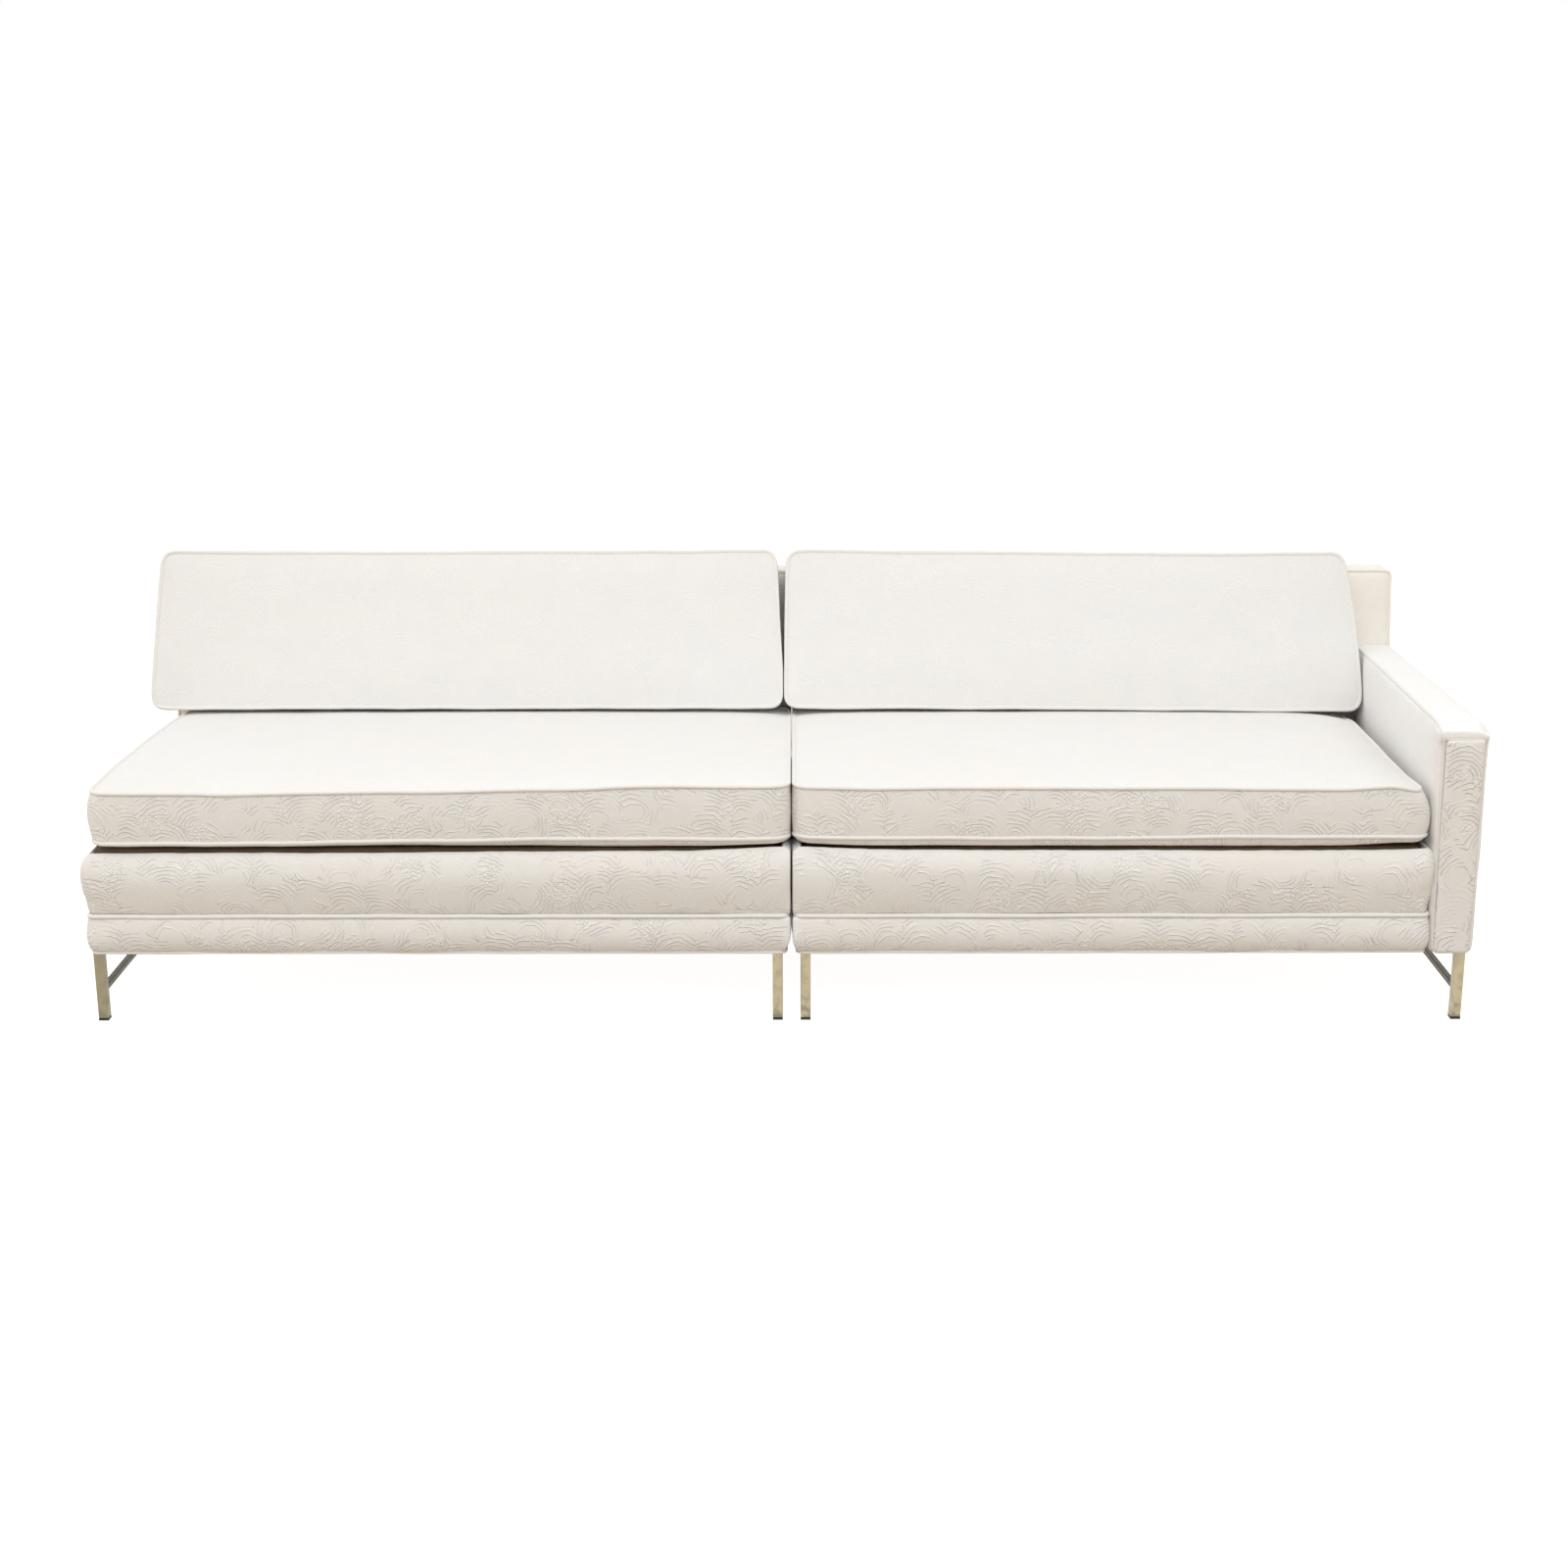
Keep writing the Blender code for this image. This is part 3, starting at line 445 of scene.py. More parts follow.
def fill_brushed(tree, given):
    """Fine lines along one direction, and cloudy dull patches."""
    stretched = vector_result(tree, "MULTIPLY", given["Vector"], given["Line Density"])
    lines = noise_value(tree, stretched, 1.0, 3.0)
    clouds = ramp(tree, noise_value(tree, given["Vector"], 55.0, 3.0), 0.42, 0.62)
    spots = ramp(tree, noise_value(tree, given["Vector"], 310.0, 2.0), 0.62, 0.72)
    height = add_node(tree, "ShaderNodeSeparateXYZ", {0: given["Vector"]}).outputs["Z"]
    near_floor = ramp(tree, height, 0.0, 0.06, 1.0, 0.0)
    thicker = calculate(tree, "MULTIPLY_ADD", near_floor, 0.6, 0.3)
    patches = calculate(tree, "MULTIPLY", clouds, thicker)
    dull = calculate(tree, "MAXIMUM", patches, calculate(tree, "MULTIPLY", spots, 0.5))
    return {"Dull": dull, "Lines": lines}


def fill_grain(tree, given):
    """Long growth rings and pores that run along the board."""
    stretched = vector_result(tree, "MULTIPLY", given["Vector"], given["Stretch"])
    rings = add_node(
        tree, "ShaderNodeTexWave",
        {"Vector": stretched, "Scale": 14.0, "Distortion": 9.0, "Detail": 3.0, "Detail Scale": 1.2},
        wave_type="RINGS", rings_direction="SPHERICAL",
    ).outputs["Fac"]
    pores = noise_value(tree, stretched, 260.0, 2.0)
    grain = calculate(tree, "MULTIPLY", rings, ramp(tree, pores, 0.35, 0.6, 0.6, 1.0))
    return {"Grain": grain}


# Shared effects: inputs, outputs and what fills each node group
EFFECTS = {
    "Raised arcs": (
        {"Vector": "Vector", "Motif Size": "Float", "Arcs": "Float"}, {"Raised": "Float"}, fill_motif,
    ),
    "Woven threads": ({"Vector": "Vector", "Thread Pitch": "Float"}, {"Height": "Float"}, fill_weave),
    "Uneven tone": (
        {"Vector": "Vector", "Amount": "Float", "Color": "Color", "Warm": "Color", "Cool": "Color"},
        {"Color": "Color"}, fill_soiling,
    ),
    "Brushed and tarnished": (
        {"Vector": "Vector", "Line Density": "Vector"}, {"Dull": "Float", "Lines": "Float"}, fill_brushed,
    ),
    "Timber grain": ({"Vector": "Vector", "Stretch": "Vector"}, {"Grain": "Float"}, fill_grain),
}


def effect(tree, name, sockets):
    """Outputs of a shared effect in a material; its node group is built once."""
    group = bpy.data.node_groups.get(name)
    if not group:
        inputs, outputs, fill = EFFECTS[name]
        group = bpy.data.node_groups.new(name, "ShaderNodeTree")
        for side, wanted in (("INPUT", inputs), ("OUTPUT", outputs)):
            for label, kind in wanted.items():
                group.interface.new_socket(label, in_out=side, socket_type="NodeSocket" + kind)
        given = group.nodes.new("NodeGroupInput").outputs
        results = group.nodes.new("NodeGroupOutput").inputs
        for label, value in fill(group, given).items():
            group.links.new(value, results[label])
    return add_node(tree, "ShaderNodeGroup", sockets, node_tree=group).outputs


def woven_threads(tree, place, pitch):
    """Height of the threads."""
    return effect(tree, "Woven threads", {"Vector": place, "Thread Pitch": pitch})["Height"]


def uneven_tone(tree, place, amount, colour, warm, cool):
    """A colour that drifts towards a warm and a cool tint of itself."""
    return effect(tree, "Uneven tone", {
        "Vector": place,
        "Amount": amount,
        "Color": colour,
        "Warm": tinted(colour, warm),
        "Cool": tinted(colour, cool),
    })["Color"]


def new_material(name, cloth=False):
    """A material, its tree, and the place on its surface: in the cloth, or in the object."""
    material = bpy.data.materials.new(name)
    material.use_nodes = True
    tree = material.node_tree
    if cloth:
        return material, tree, add_node(tree, "ShaderNodeUVMap", uv_map=UV_MAP).outputs["UV"]
    return material, tree, add_node(tree, "ShaderNodeTexCoord").outputs["Object"]


def finish_shader(material, colour, roughness, normal, plain=None):
    """Link what changes over the surface, and set what is the same all over."""
    tree = material.node_tree
    shader = tree.nodes["Principled BSDF"]
    for label, value in (("Base Color", colour), ("Roughness", roughness), ("Normal", normal)):
        tree.links.new(value, shader.inputs[label])
    for label, value in (plain or {}).items():
        shader.inputs[label].default_value = value
    return material


def bump(tree, height, distance, normal=None):
    """Normal bent by a height in metres."""
    sockets = {"Height": height, "Distance": distance}
    if normal:
        sockets["Normal"] = normal
    return add_node(tree, "ShaderNodeBump", sockets).outputs["Normal"]


def tinted(colour, factors):
    """A colour times a factor for each channel, as four numbers."""
    return (*(min(1.0, part * factor) for part, factor in zip(colour, factors)), 1)


# Cloth of the seats and bands: how strongly the raised lines show their painted highlight, and the height
# of its threads
ARCS = 8.0
RAISED_HIGHLIGHT = 0.9
THREAD_HEIGHT = 0.00035
# Heights of the upward normal over which the raised lines and their painted highlight fade
UPWARD_FROM, UPWARD_TO = 0.4, 0.9


def fabric_material(name, fabric, motif=1.0, painted_tint=(1, 1, 1)):
    """Cream cloth with raised arcs; motif 0 leaves them out, as on the narrow welts."""
    found = bpy.data.materials.get(name)
    if found:
        return found
    material, tree, place = new_material(name, cloth=True)
    # The tint makes lighter or darker copies of the cloth: painted light and painted shade
    ground = tinted(fabric.colour, painted_tint)
    tone = uneven_tone(tree, place, 0.55, ground, warm=(1.0, 0.975, 0.95), cool=(0.965, 0.98, 1.0))
    threads = woven_threads(tree, place, fabric.thread_pitch)
    normal = bump(tree, threads, THREAD_HEIGHT)
    if motif:
        sockets = {"Vector": place, "Motif Size": fabric.motif_size, "Arcs": ARCS}
        raised = effect(tree, "Raised arcs", sockets)["Raised"]
        # The raised lines, with their painted highlight, fade where the cloth faces up, as the light from
        # above shows them less there
        facing = add_node(tree, "ShaderNodeNewGeometry").outputs["Normal"]
        upward = add_node(tree, "ShaderNodeSeparateXYZ", {0: facing}).outputs["Z"]
        wear_and_painted_light = ramp(tree, upward, UPWARD_FROM, UPWARD_TO, 1.0, fabric.upward_motif)
        raised = calculate(tree, "MULTIPLY", raised, wear_and_painted_light)
        # Painted highlight: the raised lines are blended towards a lighter colour, as if lit from above
        share = calculate(tree, "MULTIPLY", raised, RAISED_HIGHLIGHT * motif)
        tone = mix_colour(tree, share, tone, tinted(fabric.raised_highlight, painted_tint))
        normal = bump(tree, raised, fabric.motif_height * motif, normal)
    # Painted shade: the hollows between the threads are tinted darker and warmer
    weave_shade = ramp(tree, threads, 0.25, 0.6, 0.25, 0.0)
    colour = mix_colour(tree, weave_shade, tone, tinted(ground, (0.86, 0.84, 0.80)))
    rough = ramp(tree, threads, 0.0, 1.0, 0.95, 0.8)
    plain = {"Sheen Weight": 0.12, "Sheen Roughness": 0.5, "Specular IOR Level": 0.25}
    return finish_shader(material, colour, rough, normal, plain)


def lining_material(name, colour, lighter):
    """Dull dark cloth of the deck and the dust cover, with patches tinted by the lighter factors."""
    material, tree, place = new_material(name, cloth=True)
    threads = woven_threads(tree, place, 0.0011)
    tone = uneven_tone(tree, place, 0.8, (*colour, 1), warm=lighter, cool=(0.8, 0.85, 0.9))
    rough = ramp(tree, threads, 0.0, 1.0, 1.0, 0.85)
    normal = bump(tree, threads, 0.0004)
    return finish_shader(material, tone, rough, normal, {"Specular IOR Level": 0.15})


def metal_material(name, bright, dull, density, roughness):
    """Brushed metal whose dull patches thicken towards the floor."""
    material, tree, place = new_material(name)
    wear_and_painted_light = effect(tree, "Brushed and tarnished", {"Vector": place, "Line Density": density})
    colour = mix_colour(tree, wear_and_painted_light["Dull"], (*bright, 1), (*dull, 1))
    streaks = ramp(tree, wear_and_painted_light["Lines"], 0.3, 0.7, *roughness)
    rough = calculate(tree, "ADD", streaks, calculate(tree, "MULTIPLY", wear_and_painted_light["Dull"], 0.15))
    normal = bump(tree, wear_and_painted_light["Lines"], 0.00006)
    return finish_shader(material, colour, rough, normal, {"Metallic": 1})


def wood_material(axis, wood):
    """Sawn frame timber whose grain runs along one axis."""
    material, tree, place = new_material("Frame timber along " + axis)
    stretch = tuple(0.12 if letter == axis else 1.0 for letter in "XYZ")
    grain = effect(tree, "Timber grain", {"Vector": place, "Stretch": stretch})["Grain"]
    colour = mix_colour(tree, grain, (*wood, 1), tinted(wood, (0.62, 0.55, 0.48)))
    rough = ramp(tree, grain, 0.0, 1.0, 0.75, 0.55)
    return finish_shader(material, colour, rough, bump(tree, grain, 0.0003))


def plastic_material():
    """Moulded black plastic of the glides, scuffed underneath."""
    material, tree, place = new_material("Glide plastic")
    scuffs = ramp(tree, noise_value(tree, place, 240.0, 3.0), 0.4, 0.7)
    colour = mix_colour(tree, scuffs, (0.012, 0.012, 0.012, 1), (0.035, 0.033, 0.03, 1))
    rough = ramp(tree, scuffs, 0.0, 1.0, 0.4, 0.65)
    return finish_shader(material, colour, rough, bump(tree, scuffs, 0.0001))


# Meshes


def cut_place():
    """Place in the cloth where the next piece is cut, so that no two show the same pattern."""
    return np.array(CUT_STEP) * len(bpy.data.objects) % CUT_RANGE


def new_piece(name, points, faces, uvs=None):
    """A smooth mesh object from points, faces and one UV for each face corner, in metres."""
    mesh = bpy.data.meshes.new(name)
    mesh.from_pydata(points, [], faces)
    if uvs is not None:
        layer = mesh.uv_layers.new(name=UV_MAP)
        layer.data.foreach_set("uv", (np.array(uvs, float) + cut_place()).ravel())
    mesh.shade_smooth()
    item = bpy.data.objects.new(name, mesh)
    bpy.context.scene.collection.objects.link(item)
    return item


def positions(mesh):
    """A mesh's points as rows of numbers."""
    values = np.empty(len(mesh.vertices) * 3)
    mesh.vertices.foreach_get("co", values)
    return values.reshape(-1, 3)


def set_positions(mesh, values):
    """Move a mesh's points."""
    mesh.vertices.foreach_set("co", np.ascontiguousarray(values, float).ravel())
    mesh.update()


def pin(item, indices):
    """Vertex group of seam points, which the cloth holds."""
    group = item.vertex_groups.new(name="seams")
    group.add([int(i) for i in indices], 1.0, "REPLACE")


def swell(items, pressure, limit):
    """Swell sewn forms with cloth pressure between their pinned seams, and keep the result.

    A point moves less than the limit, which the tangent eases it towards.
    """
    scene = bpy.context.scene
    starts = [positions(item.data) for item in items]
    for item in items:
        cloth = item.modifiers.new("padding", "CLOTH")
        fibre = cloth.settings
        for name, value in CLOTH_VALUES.items():
            setattr(fibre, name, value)
        fibre.uniform_pressure_force = pressure
        fibre.effector_weights.gravity = 0
        if item.vertex_groups:
            fibre.vertex_group_mass = item.vertex_groups[0].name
        cloth.point_cache.frame_start = 1
        cloth.point_cache.frame_end = SWELL_FRAMES
    for frame in range(1, SWELL_FRAMES + 1):
        scene.frame_set(frame)
    depsgraph = bpy.context.evaluated_depsgraph_get()
    for item, start in zip(items, starts):
        moved = positions(item.evaluated_get(depsgraph).data) - start
        length = np.linalg.norm(moved, axis=1)
        share = limit * np.tanh(length / limit) / np.maximum(length, 1e-9)
        item.modifiers.remove(item.modifiers["padding"])
        set_positions(item.data, start + moved * share[:, None])
    scene.frame_set(1)


def subdivide(item):
    """One level of subdivision, alike in the view and in the render."""
    modifier = item.modifiers.new("smooth", "SUBSURF")
    modifier.levels = 1
    modifier.render_levels = 1


def dress(item, body, material, nodes=(), fill=None):
    """Give a piece its finish, its body and the nodes that it stands for; fill is not used."""
    item.data.materials.append(material)
    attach(item, body)
    if nodes:
        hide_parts(*nodes)


def press(item, unit, gap, groove=0.0, face=0.0, slope=0.0, parting=JUNCTION):
    """Flatten a soft piece against its neighbour in the other unit.

    The gap widens to a groove near the front face, which leans back by slope.
    """
    values = positions(item.data)
    behind = values[:, 1] - face - values[:, 2] * slope
    share = np.clip(1 - behind / GROOVE_DEPTH, 0, 1)
    plane = parting - INNER_SIDE[unit] * (gap + groove * share ** 0.5)
    limit = np.minimum if INNER_SIDE[unit] > 0 else np.maximum
    values[:, 0] = limit(values[:, 0], plane)
    set_positions(item.data, values)


def beside_parting(path, unit, distance, parting=JUNCTION):
    """Keep a path at a distance from the plane where two pieces meet."""
    plane = parting - INNER_SIDE[unit] * distance
    limit = min if INNER_SIDE[unit] > 0 else max
    return [Vector((limit(point.x, plane), point.y, point.z)) for point in path]


def unevenness(point, size, height, seed=0.0):
    """Smooth offset that keeps seams and pads from being machine straight."""
    return noise.noise_vector(Vector(point) / size + Vector((seed, seed, seed))) * height


def wander(point, coarse, fine):
    """Coarse and fine unevenness together, each given as size, height and seed."""
    return unevenness(point, *coarse) + unevenness(point, *fine)


def box_uvs(item):
    """UVs in metres by each face's direction."""
    mesh = item.data
    layer = mesh.uv_layers.get(UV_MAP) or mesh.uv_layers.new(name=UV_MAP)
    points = positions(mesh)
    uvs = np.empty((len(mesh.loops), 2))
    planes = ((1, 2), (0, 2), (0, 1))
    for face in mesh.polygons:
        direction = max(range(3), key=lambda axis: abs(face.normal[axis]))
        across, up = planes[direction]
        for corner in face.loop_indices:
            point = points[mesh.loops[corner].vertex_index]
            uvs[corner] = point[across], point[up]
            uvs[corner] += direction * np.array(FACE_SHIFT)
    layer.data.foreach_set("uv", (uvs + cut_place()).ravel())


# Welts: share by which their thickness varies, how many waves of it run in a metre, and sides
WELT_SWELL = 0.05
WELT_WAVES = 70
WELT_SIDES = 8


def welt(name, path, radius, closed, sides=WELT_SIDES):
    """Round piped cord along a path, with UVs in metres that run along it."""
    points = [Vector(point) for point in path]
    count = len(points)
    rings = []
    along = 0.0
    runs = []
    side = None
    for i, point in enumerate(points):
        before = points[i - 1] if closed or i else point
        after = points[(i + 1) % count] if closed or i + 1 < count else point
        direction = (after - before).normalized()
        if side is None:
            upright = abs(direction.z) > abs(direction.x)
            side = direction.cross(Vector((0, 1, 0)) if upright else Vector((0, 0, 1)))
        side = (side - direction * side.dot(direction)).normalized()
        upward = side.cross(direction)
        if i:
            along += (point - points[i - 1]).length
        runs.append(along)
        swell_here = radius * (1 + WELT_SWELL * noise.noise(point * WELT_WAVES))
        ring = []
        for k in range(sides):
            angle = 2 * math.pi * k / sides
            ring.append(point + (side * math.cos(angle) + upward * math.sin(angle)) * swell_here)
        rings.append(ring)
    vertices = [corner for ring in rings for corner in ring]
    faces, uvs = [], []
    girth = 2 * math.pi * radius
    spans = count if closed else count - 1
    closing = (points[0] - points[-1]).length
    for i in range(spans):
        j = (i + 1) % count
        end = runs[j] if j else runs[-1] + closing
        for k in range(sides):
            m = (k + 1) % sides
            faces.append((i * sides + k, i * sides + m, j * sides + m, j * sides + k))
            low, high = girth * k / sides, girth * (k + 1) / sides
            uvs += [(runs[i], low), (runs[i], high), (end, high), (end, low)]
    if not closed:
        first = tuple(range(sides))
        last = tuple(range((count - 1) * sides, count * sides))[::-1]
        for cap in (first, last):
            faces.append(cap)
            uvs += [(0.0, 0.0)] * sides
    item = new_piece(name, vertices, faces, uvs)
    shape = bmesh.new()
    shape.from_mesh(item.data)
    bmesh.ops.recalc_face_normals(shape, faces=shape.faces)
    shape.to_mesh(item.data)
    shape.free()
    return item


def smooth_path(points, closed, passes=2):
    """Ease a path's corners a little."""
    for _ in range(passes):
        eased = []
        for i, point in enumerate(points):
            if not closed and i in (0, len(points) - 1):
                eased.append(point)
                continue
            before, after = points[i - 1], points[(i + 1) % len(points)]
            eased.append(point * 0.5 + (before + after) * 0.25)
        points = eased
    return points


# Cushions


def local_box(node, turn):
    """Corners of a node's solid in a turned frame."""
    points = positions(FRAME["nodes"][node].data) @ np.array(turn.to_3x3())
    return Vector(points.min(0)), Vector(points.max(0))


def cushion_outline(u, v, width, depth, draw, radius):
    """Plan place of a grid point: sides drawn in between corners, corners rounded.

    draw is how far the left, right, front and rear sides pull in.
    """
    left, right, front, rear = draw
    x = u * (width / 2 - (left if u < 0 else right) * (1 - v * v))
    y = v * (depth / 2 - (front if v < 0 else rear) * (1 - u * u))
    over_x = abs(x) - (width / 2 - radius)
    over_y = abs(y) - (depth / 2 - radius)
    if over_x > 0 and over_y > 0:
        share = max(over_x, over_y) / math.hypot(over_x, over_y)
        x = math.copysign(width / 2 - radius + over_x * share, x)
        y = math.copysign(depth / 2 - radius + over_y * share, y)
    return x, y


# Grids of the cushions: how much closer their lines lie near the seams, and how flat the crown is
GRID_EASE = 0.3
CROWN_POWER = 0.4


def eased_grid(share):
    """Grid place from -1 to 1, with closer lines near both ends."""
    return share * (1 + GRID_EASE * (1 - share * share))


def rolled(inward, width):
    """Rounded edge: 0 at the seam, 1 from a width inwards."""
    share = 1 - min(1.0, inward / width)
    return math.sqrt(max(0.0, 1 - share * share))


def rim_of(sheet):
    """The edge points of a grid in order, counter-clockwise from above."""
    right = [row[-1] for row in sheet[1:]]
    left = [row[0] for row in sheet[-2:0:-1]]
    return sheet[0] + right + sheet[-1][-2::-1] + left


def boxed_cushion(name, form, step, warp):
    """A top and an underside joined by a boxing; returns the piece and its two seams."""
    width, depth, boxing = form["width"], form["depth"], form["boxing"]
    columns, rows = round(width / step), round(depth / step)
    layers = max(4, round(boxing / step))
    points, faces, uvs, sheets = [], [], [], []
    plan = []
    for side, crown in ((1, form["crown"]), (-1, form["under"])):
        sheet = []
        for j in range(rows + 1):
            v = eased_grid(2 * j / rows - 1)
            row = []
            for i in range(columns + 1):
                u = eased_grid(2 * i / columns - 1)
                x, y = cushion_outline(u, v, width, depth, form["draw"], form["radius"])
                dome = ((1 - u * u) * (1 - v * v)) ** CROWN_POWER
                if side < 0:
                    roll = between(form["roll"], (u + 1) / 2)
                    dome = rolled(width / 2 * (1 - abs(u)), roll)
                    dome *= rolled(depth / 2 * (1 - abs(v)), roll)
                row.append(len(points))
                points.append(Vector((x, y, side * (boxing / 2 + crown * dome))))
                plan.append((x + side * width, y))
            sheet.append(row)
        sheets.append(sheet)
        for j in range(rows):
            for i in range(columns):
                face = (sheet[j][i], sheet[j][i + 1], sheet[j + 1][i + 1], sheet[j + 1][i])
                face = face if side > 0 else face[::-1]
                faces.append(face)
                uvs += [plan[corner] for corner in face]
    rims = [rim_of(sheet) for sheet in sheets]
    count = len(rims[0])
    bands = [rims[0]]
    for layer in range(1, layers):
        share = layer / layers
        band = []
        for i in range(count):
            top = points[rims[0][i]]
            ahead = points[rims[0][(i + 1) % count]] - points[rims[0][i - 1]]
            out = Vector((ahead.y, -ahead.x, 0)).normalized()
            bulge = form["bulge"] * math.sin(math.pi * share)
            band.append(len(points))
            points.append(top.lerp(points[rims[1][i]], share) + out * bulge)
        bands.append(band)
    bands.append(rims[1])
    runs = [0.0]
    for i in range(count):
        runs.append(runs[-1] + (points[rims[0][(i + 1) % count]] - points[rims[0][i]]).length)
    for layer, (upper, lower) in enumerate(zip(bands, bands[1:])):
        high = boxing * (1 - layer / layers)
        low = boxing * (1 - (layer + 1) / layers)
        for i in range(count):
            j = (i + 1) % count
            faces.append((lower[i], lower[j], upper[j], upper[i]))
            uvs += [(runs[i], low), (runs[i + 1], low), (runs[i + 1], high), (runs[i], high)]
    points = [warp(point) for point in points]
    item = new_piece(name, points, faces, uvs)
    resting = [corner for row in sheets[1] for corner in row] if form["rests"] else rims[1]
    pin(item, rims[0] + resting)
    return item, rims


def seam_path(item, rim, sink):
    """Path of a welt along a seam, a little inside the cushion's edge."""
    vertices = item.data.vertices
    path = [vertices[i].co - vertices[i].normal * sink for i in rim]
    return smooth_path(path, True, 2)


def make_cushions(context, kind, form_of, material, fill, gap, parting=JUNCTION):
    """Both cushions of one kind: swollen, pressed together, welted and finished."""
    settings = settings_of(context)
    cord = fabric_material("Welt fabric", settings.fabric, motif=0)
    made = [form_of(settings.cushions, unit) for unit in UNITS]
    swell([item for item, _ in made], settings.cushions.pressure, settings.cushions.swell)
    radius = settings.fabric.welt_radius
    for unit, (item, rims) in zip(UNITS, made):
        press(item, unit, gap, parting=parting)
        body = f"{unit}_{kind}"
        node = body + "_cushion"
        for rim, where in zip(rims, ("top", "under")):
            path = beside_parting(seam_path(item, rim, WELT_SINK), unit, radius + 2 * GAP, parting)
            dress(welt(f"{node}_{where}_welt", path, radius, True), body, cord)
        subdivide(item)
        dress(item, body, material, (node,), fill)


# Front seams of the seat cushions: how far the lower one rises and the upper one falls, and its
# share at places across. HOLD_SHARES is the part that the underside leaves out.
UNDER_LIFT = 0.007
UNDER_LIFT_SHARES = {
    "armless": ((0.0, 0.0), (0.25, 0.0), (0.5, 0.55), (0.75, 1.15), (1.0, 1.0)),
    "arm_unit": ((0.0, 1.4), (0.35, 1.0), (0.8, 1.35), (1.0, 1.3)),
}
HOLD_SHARES = {
    "armless": ((0.0, 0.0), (0.35, 0.0), (0.7, 0.75), (0.92, 0.5), (1.0, 0.0)),
    "arm_unit": ((0.0, 0.0), (0.15, 0.75), (0.85, 0.75), (0.97, 0.0), (1.0, 0.0)),
}
TOP_DROP = 0.010
TOP_DROP_SHARES = {
    "armless": ((0.0, 0.9), (0.2, 1.0), (0.45, 0.62), (0.65, 0.3), (0.82, -0.4), (1.0, -0.2)),
    "arm_unit": ((0.0, -0.15), (0.12, 0.0), (0.5, 0.1), (0.85, 0.35), (0.95, -0.1), (1.0, 0.2)),
}

# Room that a seat cushion's underside keeps above the band's crest as it draws out
CREST_ROOM = 0.0012

# How far the left, right, front and rear sides of the cushions pull in between their corners
SEAT_DRAW = {"armless": (0.0, 0.0, 0.003, 0.004), "arm_unit": (0.0, 0.003, 0.003, 0.004)}
BACK_DRAW = {"armless": (-0.001, 0.0, 0.001, 0.003), "arm_unit": (0.0, 0.001, 0.001, 0.003)}

# Ends of the seat cushions: reach towards the neighbour, and shift and shape of the outer end
SEAT_INNER_REACH = 0.0050
SEAT_PRESSED_GAP = 0.0006
SEAT_OUTER = {"armless": 0.0040, "arm_unit": -0.017}
SEAT_RIM_PULL = 0.007
SEAT_RIM_PULL_UNDER = 0.4
SEAT_SIDE_SWELL = {"armless": 0.002, "arm_unit": 0.004}
SEAT_END_POWER = 8

# The armless seat's outer end pulls in towards the rear, from a place in depth over a length
SEAT_REAR_PULL = 0.038
SEAT_PULL_START = -0.25
SEAT_PULL_LENGTH = 0.50
SEAT_PULL_POWER = 1.5

# The arm unit's seat beside the arm: its top edge drops, and stands off less near the front
SEAT_ARM_DROP = 0.007
SEAT_ARM_DROP_RATE = 8
ARM_SIDE_EASE = 0.3
ARM_SIDE_EASE_START = -0.28
ARM_SIDE_EASE_LENGTH = 0.08

# Edges of the back cushions, left and right: shift at the foot, lean towards the top, its power
BACK_EDGES = {
    "armless": ((-0.0025, 0.021, 1.0), (0.0045, 0.0135, 1.0)),
    "arm_unit": ((-0.0160, 0.0072, 1.0), (0.0, 0.036, 1.7)),
}
BACK_PARTING = 0.0152

# Swell of the boxings, depth of the welts in the seams, and width of the undersides' rounded
# edges at the left and right ends
SEAT_BULGE = 0.0045
BACK_BULGE = 0.005
WELT_SINK = 0.0012
SEAT_ROLL = {"armless": (0.060, 0.015), "arm_unit": (0.015, 0.017)}
BACK_ROLL = (0.045, 0.045)

# Unevenness of the cushions: size, height and seed of a coarse and a fine wave, and the room
# that it leaves under the seats
SEAT_WANDER = (0.11, 0.0016, 0.0), (0.035, 0.0005, 4.0)
SEAT_UNDER_EASE = 0.001
SEAT_STEADY_UNDER = 0.7
BACK_WANDER = (0.12, 0.0016, 7.0), (0.035, 0.0005, 2.0)

# The seats sink below the back cushions, at the left and right ends, and the backs sag as far
REAR_SINK = {"armless": (0.007, 0.007), "arm_unit": (0.007, 0.012)}
REAR_SINK_START = 0.11
REAR_SINK_LENGTH = 0.10
SINK_AT_FREE_END = 0.3
SINK_FREE_WIDTH = 0.06
BACK_SAG = {"armless": (0.0, 0.0), "arm_unit": (0.0, 0.008)}

# Faint and strong cloth pattern: share of the pattern left, and the back cushions' tint, a painted shade
FAINT_MOTIF = 0.22
PANEL_MOTIF = 1.5
BACK_PAINTED_SHADE = (0.98, 0.985, 1.0)


